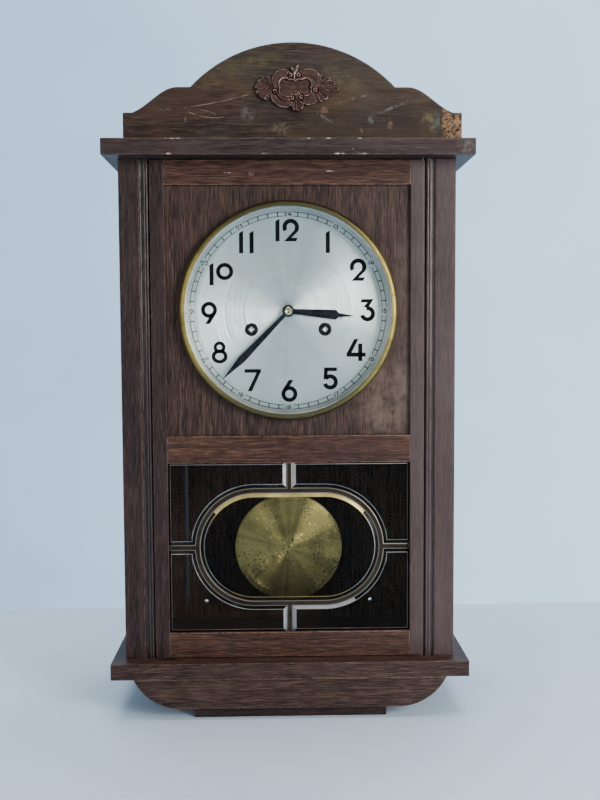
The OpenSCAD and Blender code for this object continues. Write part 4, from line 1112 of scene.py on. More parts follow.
class Pen:
    """Draws flat printed strokes with a broad nib, on the dial's plane."""

    AROUND = 48

    def __init__(self, depth: float, thick: float) -> None:
        """Takes a blank sheet.

        Args:
            depth: Y of the surface that is printed on.
            thick: Thickness of the print.
        """
        self.depth = depth
        self.thick = thick
        self.work = bmesh.new()

    def nib(self, at: Point, across: Point) -> list[bmesh.types.BMVert | bmesh.types.BMEdge]:
        """Sets down the nib's edge.

        Args:
            at: Middle of the nib.
            across: From the middle to one end of it.

        Returns:
            Its two ends and the edge between them.
        """
        ends = [
            self.work.verts.new((at[0] + s * across[0], self.depth, at[1] + s * across[1]))
            for s in (-1.0, 1.0)
        ]
        return [*ends, self.work.edges.new(ends)]

    def line(self, start: Point, end: Point, width: float) -> None:
        """Draws a straight stroke.

        Args:
            start: Where it starts.
            end: Where it ends.
            width: Width of the nib.
        """
        way = Vector(end) - Vector(start)
        across = Vector((-way.y, way.x)).normalized() * (width / 2.0)
        edge = self.nib(start, (across.x, across.y))
        moved = points_of(bmesh.ops.extrude_edge_only(self.work, edges=[edge[2]]))
        bmesh.ops.translate(self.work, verts=moved, vec=(way.x, 0.0, way.y))

    def arc(self, centre: Point, radius: float, start: float, sweep: float, width: float) -> None:
        """Draws a round stroke.

        Args:
            centre: Centre of the arc.
            radius: Radius to the middle of the stroke.
            start: Angle that it starts at, in degrees from the right, upwards.
            sweep: Angle that it covers, negative downwards.
            width: Width of the nib.
        """
        a = math.radians(start)
        out = (math.cos(a), math.sin(a))
        at = (centre[0] + radius * out[0], centre[1] + radius * out[1])
        edge = self.nib(at, (out[0] * width / 2.0, out[1] * width / 2.0))
        full = abs(sweep) >= 360.0
        bmesh.ops.spin(
            self.work, geom=edge, cent=(centre[0], self.depth, centre[1]), axis=FRONT,
            angle=math.radians(sweep), steps=max(6, int(abs(sweep) / 6.0)), use_merge=full,
        )

    def patch(self, corners: list[Point]) -> None:
        """Fills a straight-sided shape.

        Args:
            corners: Its corners in order.
        """
        self.work.faces.new([self.work.verts.new((x, self.depth, z)) for x, z in corners])

    def ring(self, centre: Point, outer: Point, inner: Point) -> None:
        """Fills the band between two ovals.

        Args:
            centre: Centre of both.
            outer: Half width and half height of the outer oval.
            inner: Half width and half height of the inner oval.
        """
        x, z = centre
        loops = [
            [
                self.work.verts.new((x + a * math.cos(t), self.depth, z + b * math.sin(t)))
                for t in (math.tau * k / self.AROUND for k in range(self.AROUND))
            ]
            for a, b in (outer, inner)
        ]
        for k in range(self.AROUND):
            n = (k + 1) % self.AROUND
            self.work.faces.new((loops[0][k], loops[0][n], loops[1][n], loops[1][k]))

    def turn(self, first: int, centre: Point, angle: float) -> None:
        """Turns and leaves in place what was drawn since a mark.

        Args:
            first: Number of points there were at the mark.
            centre: Point to turn about.
            angle: Angle in degrees, upwards from the right.
        """
        self.work.verts.ensure_lookup_table()
        bmesh.ops.rotate(
            self.work, verts=self.work.verts[first:], cent=(centre[0], self.depth, centre[1]),
            matrix=Matrix.Rotation(math.radians(angle), 3, FRONT),
        )

    def place(self, first: int, scale: float, move: Point) -> None:
        """Scales about the origin and moves what was drawn since a mark.

        Args:
            first: Number of points there were at the mark.
            scale: Scale of the drawing.
            move: Where the drawing's origin goes.
        """
        self.work.verts.ensure_lookup_table()
        drawn = self.work.verts[first:]
        bmesh.ops.scale(self.work, verts=drawn, vec=(scale, 1.0, scale))
        bmesh.ops.translate(self.work, verts=drawn, vec=(move[0], 0.0, move[1]))

    def dried(self) -> bmesh.types.BMesh:
        """Gives the print its thickness and returns it."""
        bmesh.ops.remove_doubles(self.work, verts=self.work.verts[:], dist=1e-5)
        made = bmesh.ops.extrude_face_region(
            self.work, geom=self.work.faces[:], use_keep_orig=True
        )
        bmesh.ops.translate(self.work, verts=points_of(made), vec=(0.0, -self.thick, 0.0))
        bmesh.ops.recalc_face_normals(self.work, faces=self.work.faces[:])
        return self.work


class Numerals:
    """The dial's figures, each drawn from its lower left corner at full height."""

    HEIGHT = 21.8
    NIB = 4.1
    WIDTHS = {"0": 16.8, "1": 4.1, "2": 16.1, "3": 14.7, "4": 18.9, "5": 15.6, "6": 15.8,
              "7": 16.2, "8": 15.7, "9": 15.8}

    def __init__(self, pen: Pen) -> None:
        """Takes the pen.

        Args:
            pen: The pen to draw with.
        """
        self.pen = pen

    def zero(self) -> None:
        """A ring in line with the top of the figures."""
        self.pen.ring((8.4, self.HEIGHT - 8.4), (8.4, 8.4), (4.55, 4.55))

    def one(self) -> None:
        """A bar with a slanted top."""
        self.pen.patch([(0.0, 0.0), (4.1, 0.0), (4.1, 21.8), (3.0, 21.4), (0.0, 19.5)])

    def two(self) -> None:
        """A bowl, a straight diagonal and a foot."""
        self.pen.arc((8.05, 13.75), 6.1, 211.0, -246.0, self.NIB)
        self.pen.patch(
            [(1.4, 0.0), (13.2, 0.0), (14.8, 3.4), (8.7, 3.4), (15.3, 9.9), (11.6, 10.9)]
        )

    def three(self) -> None:
        """A flat top, a short diagonal and a bowl."""
        self.pen.patch(
            [(0.0, 18.5), (7.0, 18.5), (2.9, 13.4), (8.6, 14.2), (13.3, 21.8), (1.7, 21.8)]
        )
        self.pen.arc((7.3, 7.4), 5.45, 104.0, -270.0, self.NIB)

    def four(self) -> None:
        """An open figure: a diagonal, a bar and a short upright."""
        self.pen.patch([(7.6, 21.8), (11.8, 21.8), (4.6, 7.8), (0.2, 7.8)])
        self.pen.line((0.0, 6.3), (18.9, 6.3), self.NIB)
        self.pen.line((13.5, 0.0), (13.5, 17.2), self.NIB)

    def five(self) -> None:
        """A flat top, a short upright and a bowl."""
        self.pen.line((2.0, 20.0), (14.6, 20.0), 3.6)
        self.pen.patch([(2.0, 21.8), (5.8, 21.8), (5.2, 11.6), (1.4, 9.6)])
        self.pen.arc((8.0, 7.5), 5.55, 148.0, -310.0, self.NIB)

    def six(self) -> None:
        """A ring with a straight tail."""
        self.pen.ring((7.9, 7.9), (7.9, 7.9), (4.0, 4.0))
        self.pen.patch([(0.9, 11.6), (7.4, 21.8), (11.9, 21.8), (5.6, 11.6)])

    def seven(self) -> None:
        """A bar and a long diagonal."""
        self.pen.line((0.0, 20.0), (16.2, 20.0), 3.6)
        self.pen.patch([(16.2, 19.8), (7.2, 0.0), (2.9, 0.0), (11.9, 18.6)])

    def eight(self) -> None:
        """A small ring on a larger one."""
        self.pen.ring((7.85, 7.0), (7.85, 7.0), (4.2, 3.5))
        self.pen.ring((7.85, 15.9), (5.9, 5.9), (2.6, 2.5))

    def nine(self) -> None:
        """The six turned over."""
        first = len(self.pen.work.verts)
        self.six()
        self.pen.turn(first, (7.9, self.HEIGHT / 2.0), 180.0)

    def figure(self, digit: str) -> None:
        """Draws one digit.

        Args:
            digit: The digit.
        """
        draw = [self.zero, self.one, self.two, self.three, self.four, self.five, self.six,
                self.seven, self.eight, self.nine]
        draw[int(digit)]()

    def number(self, text: str, gaps: float, centre: Point, scale: float, angle: float) -> None:
        """Draws a number about a point.

        Args:
            text: Its digits.
            gaps: Gap between two digits, at full height.
            centre: The middle of the number.
            scale: Scale of its height.
            angle: How far it is turned, in degrees.
        """
        width = sum(self.WIDTHS[d] for d in text) + gaps * (len(text) - 1)
        first = len(self.pen.work.verts)
        left = 0.0
        for digit in text:
            start = len(self.pen.work.verts)
            self.figure(digit)
            self.pen.place(start, 1.0, (left, 0.0))
            left += self.WIDTHS[digit] + gaps
        self.pen.place(first, 1.0, (-width / 2.0, -self.HEIGHT / 2.0))
        self.pen.turn(first, (0.0, 0.0), angle)
        self.pen.place(first, scale, centre)


@dataclass
class Dial:
    """Silvered plate with its printed track, hours and the two grommets."""

    y_face: float = -53.0
    track_out: float = 96.7
    track_in: float = 92.6
    tick: float = 0.95
    rim_line: float = 0.6
    small: float = 0.205
    leans: tuple[float, ...] = (0.0, -25.0, 0.0, 0.0, 0.0, 25.0, 0.0, -25.0, 20.0, 0.0, 0.0, 25.0)
    hour_gaps: dict[str, float] = field(
        default_factory=lambda: {"10": 2.4, "11": 6.1, "12": 2.9}
    )
    hours: dict[str, Point] = field(
        default_factory=lambda: {
            "12": (-0.6, 78.9), "1": (39.1, 67.5), "2": (68.8, 40.2), "3": (78.1, 0.6),
            "4": (66.8, -38.5), "5": (40.9, -66.5), "6": (0.7, -78.6), "7": (-35.3, -67.7),
            "8": (-67.8, -40.2), "9": (-77.7, -1.4), "10": (-65.3, 36.4), "11": (-40.6, 67.4),
        }
    )

    def build(self) -> None:
        """Builds the plate, the print and the grommets."""
        work = node_copy("dial_plate")
        ease(work, 0.15, 0.4)
        deliver(
            work,
            Ticket("dial_plate_silvered", "case", "dial_silver", (SILVERING,), ("dial_plate",)),
        )
        self.print_hours()
        self.print_track()
        self.grommets()

    def print_hours(self) -> None:
        """Prints the twelve hour figures."""
        pen = Pen(self.y_face, 0.06)
        figures = Numerals(pen)
        for text, (x, z) in self.hours.items():
            figures.number(text, self.hour_gaps.get(text, 0.0), (x, z), 1.0, 0.0)
        pen.place(0, 1.0, (DIAL_X, DIAL_Z))
        deliver(pen.dried(), Ticket("hour_figures", "case", "black_metal", (INK,)))

    def print_track(self) -> None:
        """Prints the minute track with its small figures."""
        pen = Pen(self.y_face, 0.05)
        figures = Numerals(pen)
        middle = (self.track_out + self.track_in) / 2.0
        for hour in range(12):
            away = 90.0 - 30.0 * hour
            for radius in (self.track_out, self.track_in):
                pen.arc((0.0, 0.0), radius, away - 2.6, -24.8, self.rim_line)
            for minute in range(1, 5):
                a = math.radians(away - 6.0 * minute)
                way = Vector((math.cos(a), math.sin(a)))
                pen.line(way * self.track_in, way * self.track_out, self.tick)
            a = math.radians(away)
            text = str(24 if hour == 0 else 12 + hour)
            place = (middle * math.cos(a), middle * math.sin(a))
            figures.number(text, 3.4, place, self.small, self.leans[hour])
        pen.place(0, 1.0, (DIAL_X, DIAL_Z))
        deliver(pen.dried(), Ticket("minute_track", "case", "black_metal", (INK,)))

    def grommets(self) -> None:
        """Spins the two black grommets."""
        y = self.y_face
        section = [
            (3.1, y + 1.4), (3.1, y + 0.3), (3.6, y - 0.35), (4.6, y - 0.6), (5.6, y - 0.55),
            (6.3, y - 0.3), (6.5, y), (5.0, y), (5.0, y + 1.4),
        ]
        pair = [spun(section, (s * 36.2, DIAL_Z - 17.9), 64) for s in (-1.0, 1.0)]
        deliver(
            joined(pair),
            Ticket("dial_grommets_spun", "case", "black_metal", (BLACK_METAL,), ("dial_grommets",)),
            40.0,
        )


@dataclass
class Hands:
    """Hour hand, minute hand and the polished nut."""

    minute_angle: float = 224.3
    hour_angle: float = 94.7
    minute_reach: float = 93.8
    hour_reach: float = 66.1
    ridge: float = 0.55

    def ridged(self, node: str, clockwise: float, body: str, reach: float) -> None:
        """Replaces a flat hand by one with a ridge along its middle.

        Args:
            node: The CAD node.
            clockwise: Angle of the hand from twelve, in degrees.
            body: Body that it rides on.
            reach: Length of the hand.
        """
        work = node_copy(node)
        a = math.radians(90.0 - clockwise)
        along = Vector((math.cos(a), 0.0, math.sin(a)))
        centre = Vector((DIAL_X, 0.0, DIAL_Z))
        bmesh.ops.bisect_plane(
            work, geom=work.verts[:] + work.edges[:] + work.faces[:], dist=1e-4,
            plane_co=centre, plane_no=along.cross(FRONT),
        )
        front = min(v.co.y for v in work.verts)
        for vert in work.verts:
            arm = vert.co - centre
            run = arm.dot(along) / reach
            off = abs(arm.dot(along.cross(FRONT)))
            if vert.co.y < front + 0.01 and off < 0.01 and 0.05 < run < 0.97:
                vert.co.y -= self.ridge
        deliver(work, Ticket(f"{node}_ridged", body, "blued_steel", (HAND_BLACK,), (node,)), 8.0)

    def build(self) -> None:
        """Builds both hands and the nut."""
        self.ridged("hour_hand", self.hour_angle, "hour", self.hour_reach)
        self.ridged("minute_hand", self.minute_angle, "centre", self.minute_reach)
        section = [
            (1.2, -60.8), (4.1, -60.8), (4.1, -61.5), (3.9, -62.0), (3.2, -62.5), (2.2, -62.65),
            (1.5, -62.4), (1.2, -62.0),
        ]
        deliver(
            spun(section, (DIAL_X, DIAL_Z), 64),
            Ticket("hand_nut_polished", "centre", "bezel_brass", (CAP_BRASS,), ("hand_nut",)),
            25.0,
        )


class Facet(Enum):
    """Kinds of facet on a pane, as places in PANES."""

    BEVEL = 1
    ARRIS = 2
    # Painted gold reflection of the bob, and a painted glint of the window.
    GOLD = 3
    LIT = 4


@dataclass
class LeadedGlass:
    """Five bevelled panes in brass cames."""

    y_back: float = -55.0
    sheet: float = 3.0
    bevel_w: float = 5.7
    bevel_d: float = 1.7
    arris_w: float = 0.5
    oval_z: float = 166.7
    oval_flat: float = 32.0
    oval_round: float = 55.0
    tilted: float = 0.15

    def facet(self, face: bmesh.types.BMFace, kind: Facet) -> Facet:
        """Picks a bevel facet's finish, painting reflections and glints where it is set to catch
        them.

        Args:
            face: The facet.
            kind: BEVEL or ARRIS.

        Returns:
            The kind, or the painted gold reflection of the bob or the painted window glint where it
            is set to catch them.
        """
        at = face.calc_center_median()
        up = face.normal.z
        past = max(abs(at.x) - self.oval_flat, 0.0)
        if math.hypot(past, at.z - self.oval_z) < self.oval_round:
            upper = up > self.tilted and at.z > self.oval_z
            return Facet.GOLD if upper or (kind is Facet.ARRIS and up < -0.25) else kind
        beside_came = abs(at.x) < 8.0
        below_oval = 4.0 < at.x < 64.0 and at.z < 114.0 and up > self.tilted
        return Facet.LIT if kind is Facet.BEVEL and (beside_came or below_oval) else kind

    def build(self) -> None:
        """Builds the panes and the cames."""
        work = node_copy("glass_panes")
        front = self.y_back - 0.1
        away = [f for f in work.faces if f.normal.y < 0.9 or f.calc_center_median().y < front]
        bmesh.ops.delete(work, geom=away, context="FACES")
        for face in work.faces:
            face.normal_flip()
        made = bmesh.ops.extrude_face_region(work, geom=work.faces[:], use_keep_orig=True)
        bmesh.ops.translate(work, verts=points_of(made), vec=(0.0, -self.sheet, 0.0))
        bmesh.ops.recalc_face_normals(work, faces=work.faces[:])
        top = min(f.calc_center_median().y for f in work.faces)
        flat = [f for f in work.faces if f.calc_center_median().y < top + 0.01]
        for depth, width, kind in (
            (0.0, 0.2, Facet.BEVEL),
            (self.bevel_d - 0.15, self.bevel_w - self.arris_w, Facet.BEVEL),
            (0.15, self.arris_w, Facet.ARRIS),
        ):
            edge = bmesh.ops.inset_region(
                work, faces=flat, thickness=width, depth=depth, use_boundary=True,
                use_even_offset=True,
            )
            work.normal_update()
            for face in edge["faces"]:
                face.material_index = self.facet(face, kind).value
        deliver(
            work, Ticket("bevelled_panes", "door", "clear_glass", PANES, ("glass_panes",)), 8.0
        )
        cames = node_copy("came_frame")
        ease(cames, 0.5, 0.5)
        deliver(
            cames, Ticket("came_frame_soft", "door", "came_brass", (CAME_BRASS,), ("came_frame",))
        )


@dataclass
class Pendulum:
    """The spun brass bob."""

    centre: Point = (0.0, 148.0)
    y: float = 28.0
    radius: float = 57.5
    half: float = 9.0
    rim: float = 1.5
    hole: float = 1.8
    steps: int = 24

    def build(self) -> None:
        """Spins the lens and bores the hole for the rod."""
        rise = self.half - self.rim
        ball = (self.radius**2 + rise**2) / (2.0 * rise)
        front = []
        for step in range(self.steps + 1):
            r = self.radius * (1.0 - step / self.steps)
            sag = ball - math.sqrt(ball * ball - r * r)
            front.append((r, self.y - self.half + sag))
        back = [(r, 2.0 * self.y - y) for r, y in reversed(front)]
        rim = [(self.radius - 0.35, back[-1][1] - 0.1), (self.radius, self.y + 0.6),
               (self.radius, self.y - 0.6), (self.radius - 0.35, front[0][1] + 0.1)]
        lens = spun(rim + front[1:] + back[:-1], self.centre, 256)
        tool = bmesh.new()
        bmesh.ops.create_cone(
            tool, cap_ends=True, segments=32, radius1=self.hole, radius2=self.hole, depth=130.0,
            matrix=Matrix.Translation((self.centre[0], self.y, self.centre[1])),
        )
        blank = put("lens", meshed("lens", lens))
        drill = put("drill", meshed("drill", tool))
        bore = blank.modifiers.new("bore", "BOOLEAN")
        bore.operation = "DIFFERENCE"
        bore.object = drill
        bored = bpy.data.meshes.new_from_object(
            blank.evaluated_get(bpy.context.evaluated_depsgraph_get())
        )
        work = bmesh.new()
        work.from_mesh(bored)
        for helper in (blank, drill):
            bpy.data.objects.remove(helper)
        deliver(
            work, Ticket("bob_lens", "bob", "bob_brass", (BOB_BRASS,), ("pendulum_bob",)), 40.0
        )


@dataclass(frozen=True)
class Chip:
    """One stroke of the carver: a path, the radii along it, its height and its raised edges."""

    path: tuple[Point, ...]
    radii: tuple[float, ...]
    height: float
    edge: float = 0.0


@dataclass(frozen=True)
class Shell:
    """A fan of flutes between raised ribs: its root, first angle, sweep and reaches."""

    root: Point
    first: float
    sweep: float
    reaches: tuple[float, ...]


@dataclass
class Carving:
    """The rococo cartouche on the crest, worked out as relief over a grid."""

    centre: Point = (7.5, 613.3)
    y_board: float = -56.0
    half_w: float = 44.5
    half_h: float = 23.5
    step: float = 0.34
    feel: float = 0.7
    highest: float = 5.9
    lobes: tuple[tuple[float, float, float], ...] = (
        (-9.8, 4.2, 5.6), (10.4, 4.0, 5.6), (-10.0, -2.0, 5.2), (11.0, -1.8, 5.2),
        (-3.6, 2.2, 6.2), (4.6, 2.2, 6.4), (-7.0, -4.0, 4.2), (-0.8, -2.2, 4.2), (7.8, -3.6, 4.2),
    )
    shells: tuple[Shell, ...] = (
        Shell((-19.6, 0.6), 110.0, 132.0, (12.6, 15.4, 17.6, 19.6, 19.0, 17.2, 14.8)),
        Shell((18.8, 1.2), -72.0, 134.0, (15.6, 16.8, 18.8, 24.4, 20.0, 17.0, 14.4)),
        Shell((1.8, -7.6), 224.0, 104.0, (11.6, 13.4, 14.4, 12.6, 9.8)),
    )
    knobs: tuple[tuple[float, float, float], ...] = (
        (-4.1, 12.9, 2.3), (3.6, 12.9, 2.3), (-19.2, -2.6, 2.4), (19.4, -1.2, 2.4),
        (-2.6, -9.0, 2.2), (6.2, -8.2, 2.2),
    )
    chips: tuple[Chip, ...] = (
        Chip(((-18.8, 1.1), (-19.6, 6.4), (-18.2, 11.0), (-14.3, 14.4), (-9.8, 15.6), (-6.3, 14.6)),
             (1.6, 2.8, 3.4, 3.5, 3.0, 1.8), 5.2, 0.3),
        Chip(((5.6, 14.4), (10.5, 15.6), (15.6, 15.4), (20.1, 12.7), (21.9, 8.1), (20.6, 3.6),
              (18.4, 1.1)), (1.8, 3.0, 3.5, 3.6, 3.1, 2.4, 1.5), 5.2, 0.3),
        Chip(((-21.6, -4.4), (-19.4, -10.2), (-13.4, -14.1), (-7.3, -15.3), (-3.5, -13.5)),
             (1.8, 2.9, 3.2, 2.7, 1.6), 5.0, 0.3),
        Chip(((-17.0, -4.4), (-13.8, -8.6), (-8.6, -10.9), (-4.1, -10.1)), (1.3, 1.8, 1.8, 1.2),
             4.2),
        Chip(((8.0, -11.6), (11.8, -13.2), (16.9, -12.2), (21.4, -8.5), (22.8, -3.9)),
             (1.6, 2.5, 3.0, 3.0, 1.9), 5.0, 0.3),
        Chip(((6.9, -8.2), (11.2, -8.9), (15.6, -6.8), (18.0, -3.4)), (1.2, 1.7, 1.7, 1.2), 4.2),
        Chip(((-0.5, 8.8), (-0.5, 12.4), (-0.3, 16.2)), (1.3, 1.3, 1.2), 5.0),
        Chip(((-0.3, 14.4), (-1.4, 17.2), (-3.2, 19.8)), (1.3, 1.5, 0.7), 4.4),
        Chip(((-0.3, 14.8), (1.2, 18.2), (2.9, 21.4)), (1.4, 1.8, 0.8), 4.8),
    )

    @staticmethod
    def smooth_path(points: tuple[Point, ...], radii: tuple[float, ...]) -> np.ndarray:
        """Draws a smooth curve through a chip's points.

        Args:
            points: Points of the path.
            radii: Radius at each point.

        Returns:
            Rows of x, z and radius, a few for each stretch.
        """
        rows = np.array([(*p, r) for p, r in zip(points, radii)])
        held = np.vstack([2 * rows[0] - rows[1], rows, 2 * rows[-1] - rows[-2]])
        out = []
        for a, b, c, d in zip(held, held[1:], held[2:], held[3:]):
            for t in np.linspace(0.0, 1.0, 7)[:-1]:
                out.append(0.5 * (2 * b + (c - a) * t + (2 * a - 5 * b + 4 * c - d) * t**2
                                  + (3 * b - a - 3 * c + d) * t**3))
        return np.array([*out, rows[-1]])

    def chip_height(self, chip: Chip, x: np.ndarray, z: np.ndarray) -> np.ndarray:
        """Relief of one chip over the grid.

        Args:
            chip: The chip.
            x: X of the grid's points from the middle.
            z: Z of the grid's points from the middle.

        Returns:
            Its height, 0 outside.
        """
        path = self.smooth_path(chip.path, chip.radii)
        best = np.full(x.shape, 9.0)
        for (x0, z0, r0), (x1, z1, r1) in zip(path, path[1:]):
            dx, dz = x1 - x0, z1 - z0
            t = np.clip(((x - x0) * dx + (z - z0) * dz) / (dx * dx + dz * dz + 1e-9), 0.0, 1.0)
            radius = np.maximum(r0 + (r1 - r0) * t, 0.2)
            best = np.minimum(best, np.hypot(x - x0 - dx * t, z - z0 - dz * t) / radius)
        crown = np.clip(1.0 - best * best, 0.0, 1.0) ** 0.4
        hollow = 1.0 - chip.edge * (1.0 - np.clip(best / 0.8, 0.0, 1.0) ** 4)
        return chip.height * crown * hollow

    @staticmethod
    def shell_height(shell: Shell, x: np.ndarray, z: np.ndarray) -> np.ndarray:
        """Relief of one shell over the grid.

        Args:
            shell: The shell.
            x: X of the grid's points from the middle.
            z: Z of the grid's points from the middle.

        Returns:
            Its height, 0 outside.
        """
        dx, dz = x - shell.root[0], z - shell.root[1]
        away = np.hypot(dx, dz)
        turn = np.mod(np.degrees(np.arctan2(dz, dx)) - shell.first, 360.0)
        count = len(shell.reaches)
        place = np.clip(turn / shell.sweep * count, 0.0, count - 1e-6)
        flute = np.abs(2.0 * (place - np.floor(place)) - 1.0)
        reach = np.interp(place, np.arange(count) + 0.5, shell.reaches)
        edge = reach * (0.84 + 0.16 * np.sqrt(1.0 - flute * flute))
        run = np.clip(away / edge, 0.0, 1.2)
        lip = np.exp(-(((run - 0.95) / 0.035) ** 2))
        rise = 2.3 + 1.0 * run + 1.7 * flute**5 + 0.9 * lip
        ends = np.clip((1.0 - run) / 0.04, 0.0, 1.0) ** 0.5
        return np.where((turn <= shell.sweep) & (away > 0.5), rise * ends, 0.0)

    def relief(self, x: np.ndarray, z: np.ndarray) -> np.ndarray:
        """Height of the whole carving.

        Args:
            x: X of the grid's points from the middle.
            z: Z of the grid's points from the middle.

        Returns:
            The height, 0 outside the carving.
        """
        inside = np.min([np.hypot(x - a, z - b) - r for a, b, r in self.lobes], axis=0)
        body = np.min([np.hypot((x - a) * 0.94, z - b) - r for a, b, r in self.lobes], axis=0)
        mantle = 3.6 * np.clip(1.0 - np.clip(body / 5.4, 0.0, 1.0) ** 3, 0.0, 1.0)
        mantle = np.where(body < 5.4, mantle, 0.0)
        rim = 4.9 * np.sqrt(np.clip(1.0 - (inside / 0.85) ** 2, 0.0, 1.0))
        height = np.where(inside < 0.0, 1.9 + 0.5 * np.clip(-inside / 5.0, 0.0, 1.0), mantle)
        height = np.maximum(height, rim)
        cuts = [self.shell_height(shell, x, z) for shell in self.shells]
        cuts += [self.chip_height(chip, x, z) for chip in self.chips]
        for cut in cuts:
            height = np.where(inside < -0.6, height, np.maximum(height, cut))
        for a, b, r in self.knobs:
            away = np.hypot(x - a, z - b) / r
            knob = 5.4 * np.clip(1.0 - away * away, 0.0, 1.0) ** 0.4
            eye = 1.0 - 0.55 * np.exp(-((away / 0.42) ** 4))
            moat = 1.4 * np.exp(-(((away - 1.2) / 0.2) ** 2))
            height = np.where(away < 1.0, knob * eye, height - moat)
        return np.clip(height, 0.0, self.highest)

    def build(self) -> None:
        """Cuts the carving out of a grid and closes its sides down to the crest."""
        across = round(2.0 * self.half_w / self.step)
        up = round(2.0 * self.half_h / self.step)
        work = bmesh.new()
        stand = Matrix.Rotation(math.radians(90.0), 4, "X")
        bmesh.ops.create_grid(
            work, x_segments=across, y_segments=up, size=1.0,
            matrix=stand @ Matrix.Diagonal((self.half_w, self.half_h, 1.0, 1.0)),
        )
        places = np.array([v.co for v in work.verts])
        height = self.relief(places[:, 0], places[:, 2])
        nearby = sum(
            self.relief(places[:, 0] + dx, places[:, 2] + dz)
            for dx, dz in (
                (self.feel, 0.0), (-self.feel, 0.0), (0.0, self.feel), (0.0, -self.feel)
            )
        )
        proud = np.clip((height - nearby / 4.0) * 2.4 + 0.1 + 0.12 * (height - 3.5), 0.0, 1.0)
        wear = work.verts.layers.float.new("wear")
        for vert, tall, rubbed in zip(work.verts, height, proud):
            vert.co.y = -tall
            vert[wear] = rubbed
        low = [f for f in work.faces if max(-v.co.y for v in f.verts) < 0.4]
        bmesh.ops.delete(work, geom=low, context="FACES")
        for _ in range(4):
            pinched = [v for v in work.verts if sum(e.is_boundary for e in v.link_edges) > 2]
            faces = list({f for v in pinched for f in v.link_faces})
            bmesh.ops.delete(work, geom=faces, context="FACES")
        rim = [e for e in work.edges if e.is_boundary]
        rim_verts = list({v for e in rim for v in e.verts})
        for _ in range(3):
            bmesh.ops.smooth_vert(
                work, verts=rim_verts, factor=0.5, use_axis_x=True, use_axis_z=True
            )
        for vert in points_of(bmesh.ops.extrude_edge_only(work, edges=rim)):
            vert.co.y = 0.05
            vert[wear] = 0.0
        loops = [e for e in work.edges if e.is_boundary]
        bmesh.ops.holes_fill(work, edges=loops, sides=0)
        bmesh.ops.recalc_face_normals(work, faces=work.faces[:])
        bmesh.ops.translate(
            work, verts=work.verts[:], vec=(self.centre[0], self.y_board, self.centre[1])
        )
        deliver(
            work, Ticket("cartouche", "case", "carving_wood", (CARVED,), ("crest_carving",)), 60.0
        )


@dataclass
class Works:
    """The CAD nodes that keep their own shape: movement, gong and small fittings."""

    band: float = 0.55
    crown: float = 0.6
    peak: float = 0.4

    def crowned(self, node: str, body: str) -> None:
        """Replaces a winding arbor by one with its square's end filed to a low point.

        Args:
            node: The CAD node.
            body: Body that it rides on.
        """
        work = node_copy(node)
        front = min(v.co.y for v in work.verts)
        ends = [f for f in work.faces if f.calc_center_median().y < front + 0.01]
        made = bmesh.ops.inset_region(work, faces=ends, thickness=self.band, use_even_offset=True)
        kept = {vert for face in ends for vert in face.verts}
        for vert in {v for face in made["faces"] for v in face.verts} - kept:
            vert.co.y += self.crown
        bmesh.ops.poke(work, faces=ends, offset=-self.peak)
        deliver(work, Ticket(f"{node}_crowned", body, "steel", (BRIGHT_STEEL,), (node,)), 10.0)

    def build(self) -> None:
        """Crowns the winding squares and gives each shown node its finish."""
        for body in ("time_winding", "strike_winding"):
            self.crowned(f"{body}_arbor", body)
        for name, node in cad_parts.items():
            if node.hide_render:
                continue
            material = mixed(CAD_FINISHES[name])
            if not node.material_slots:
                node.data.materials.append(material)
            for held in node.material_slots:
                held.material = material
            LOG.info("%s: packed shape, finish %s", name, material.name)


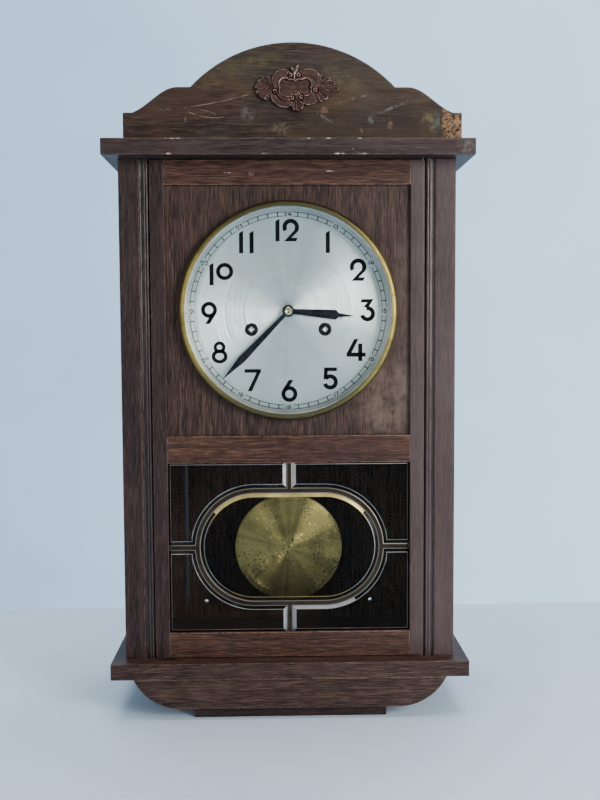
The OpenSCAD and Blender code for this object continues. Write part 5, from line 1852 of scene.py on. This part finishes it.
@dataclass
class Studio:
    """Floor, backdrop, lights, sky and camera."""

    eye: tuple[float, float, float] = (-0.012, -1.024, 0.3785)
    pitch: float = 3.895
    yaw: float = 1.365
    roll: float = 0.28
    floor_back: float = 0.32
    wall_back: float = 2.7
    aim: tuple[float, float, float] = (0.0, 0.0, 0.33)
    sensor: float = 36.0
    focal: float = 44.28

    def build(self) -> None:
        """Sets up everything around the clock."""
        self.floor()
        self.wall()
        self.lamp("window_right", (1.24, -1.36, 0.78), 0.7, 42.0)
        self.lamp("window_left", (-0.9, -1.4, 0.6), 0.5, 5.0)
        self.lamp("ceiling", (0.0, 0.1, 2.3), 1.6, 48.0)
        self.sky()
        self.camera()

    def plane(self, name: str, matrix: Matrix, material: bpy.types.Material) -> None:
        """Adds a flat piece of the room.

        Args:
            name: Its name.
            matrix: Where it is and how large.
            material: Its material.
        """
        work = bmesh.new()
        bmesh.ops.create_grid(work, x_segments=2, y_segments=2, size=1.0, matrix=matrix)
        flat = put(name, meshed(name, work))
        flat.data.materials.append(material)

    def floor(self) -> None:
        """Lays the pale floor."""
        mix = Recipe("table_paint")
        cloud = mix.noise(mix.place(), 2.5, 4.0)
        colour = mix.ramp(cloud, [(0.3, tone(196, 214, 232)), (0.7, tone(206, 223, 239))])
        mix.coat({"Base Color": colour, "Roughness": 0.55 + (cloud - 0.5) * 0.2})
        middle = Matrix.Translation((0.0, self.floor_back - 2.0, 0.0))
        self.plane("table_top", middle @ Matrix.Diagonal((3.0, 2.0, 1.0, 1.0)), mix.material)

    def wall(self) -> None:
        """Hangs a pale glowing backdrop far behind, painted brighter towards the right."""
        mix = Recipe("wall_light")
        x = mix.place().parts()[0]
        cloud = mix.noise(mix.place(), 1.6, 3.0) - 0.5
        # Painted light: the glow grows brighter towards the right.
        share = x * 0.42 + cloud * 0.5 + 0.5
        colour = mix.ramp(share, [(0.0, (0.34, 0.52, 0.74, 1.0)), (1.0, (0.57, 0.8, 1.05, 1.0))])
        shader = mix.node("ShaderNodeEmission", {}, {"Color": colour, "Strength": 1.8})
        mix.end(shader)
        upright = Matrix.Translation((0.0, self.wall_back, 0.0)) @ Matrix.Rotation(
            math.radians(90.0), 4, "X"
        )
        self.plane("wall_light", upright @ Matrix.Diagonal((6.0, 4.0, 1.0, 1.0)), mix.material)

    def lamp(self, name: str, at: tuple[float, float, float], size: float, power: float) -> None:
        """Hangs a soft light that faces the clock.

        Args:
            name: Name of the light.
            at: Where it is.
            size: Width of the light.
            power: Its power in watts.
        """
        light = bpy.data.lights.new(name, "AREA")
        light.shape = "RECTANGLE"
        light.size = size
        light.size_y = 1.3 * size
        light.energy = power
        lamp = put(name, light)
        lamp.location = at
        way = Vector(self.aim) - Vector(at)
        lamp.rotation_mode = "QUATERNION"
        lamp.rotation_quaternion = way.to_track_quat("-Z", "Y")

    def sky(self) -> None:
        """Fills the room with pale light."""
        world = bpy.data.worlds.new("room")
        world.use_nodes = True
        back = world.node_tree.nodes["Background"]
        back.inputs["Color"].default_value = tone(206, 215, 224)
        back.inputs["Strength"].default_value = 0.34
        bpy.context.scene.world = world

    def camera(self) -> None:
        """Sets the camera at the photograph's viewing angle."""
        lens = bpy.data.cameras.new("camera")
        lens.sensor_fit = "VERTICAL"
        lens.sensor_height = self.sensor
        lens.sensor_width = self.sensor
        lens.lens = self.focal
        eye = put("camera", lens)
        turn = (
            Matrix.Rotation(math.radians(-self.yaw), 4, "Z")
            @ Matrix.Rotation(math.radians(90.0 - self.pitch), 4, "X")
            @ Matrix.Rotation(math.radians(-self.roll), 4, "Z")
        )
        eye.matrix_world = Matrix.Translation(self.eye) @ turn
        bpy.context.scene.camera = eye


def main() -> None:
    """Builds the clock and the studio."""
    logging.basicConfig(level=logging.INFO, format="%(name)s %(message)s")
    for part in (
        Case(), Carving(), Door(), Bezel(), Dial(), Hands(), LeadedGlass(), Pendulum(), Works(),
        Studio(),
    ):
        LOG.info("building %s", type(part).__name__)
        part.build()


if __name__ == "__main__":
    main()
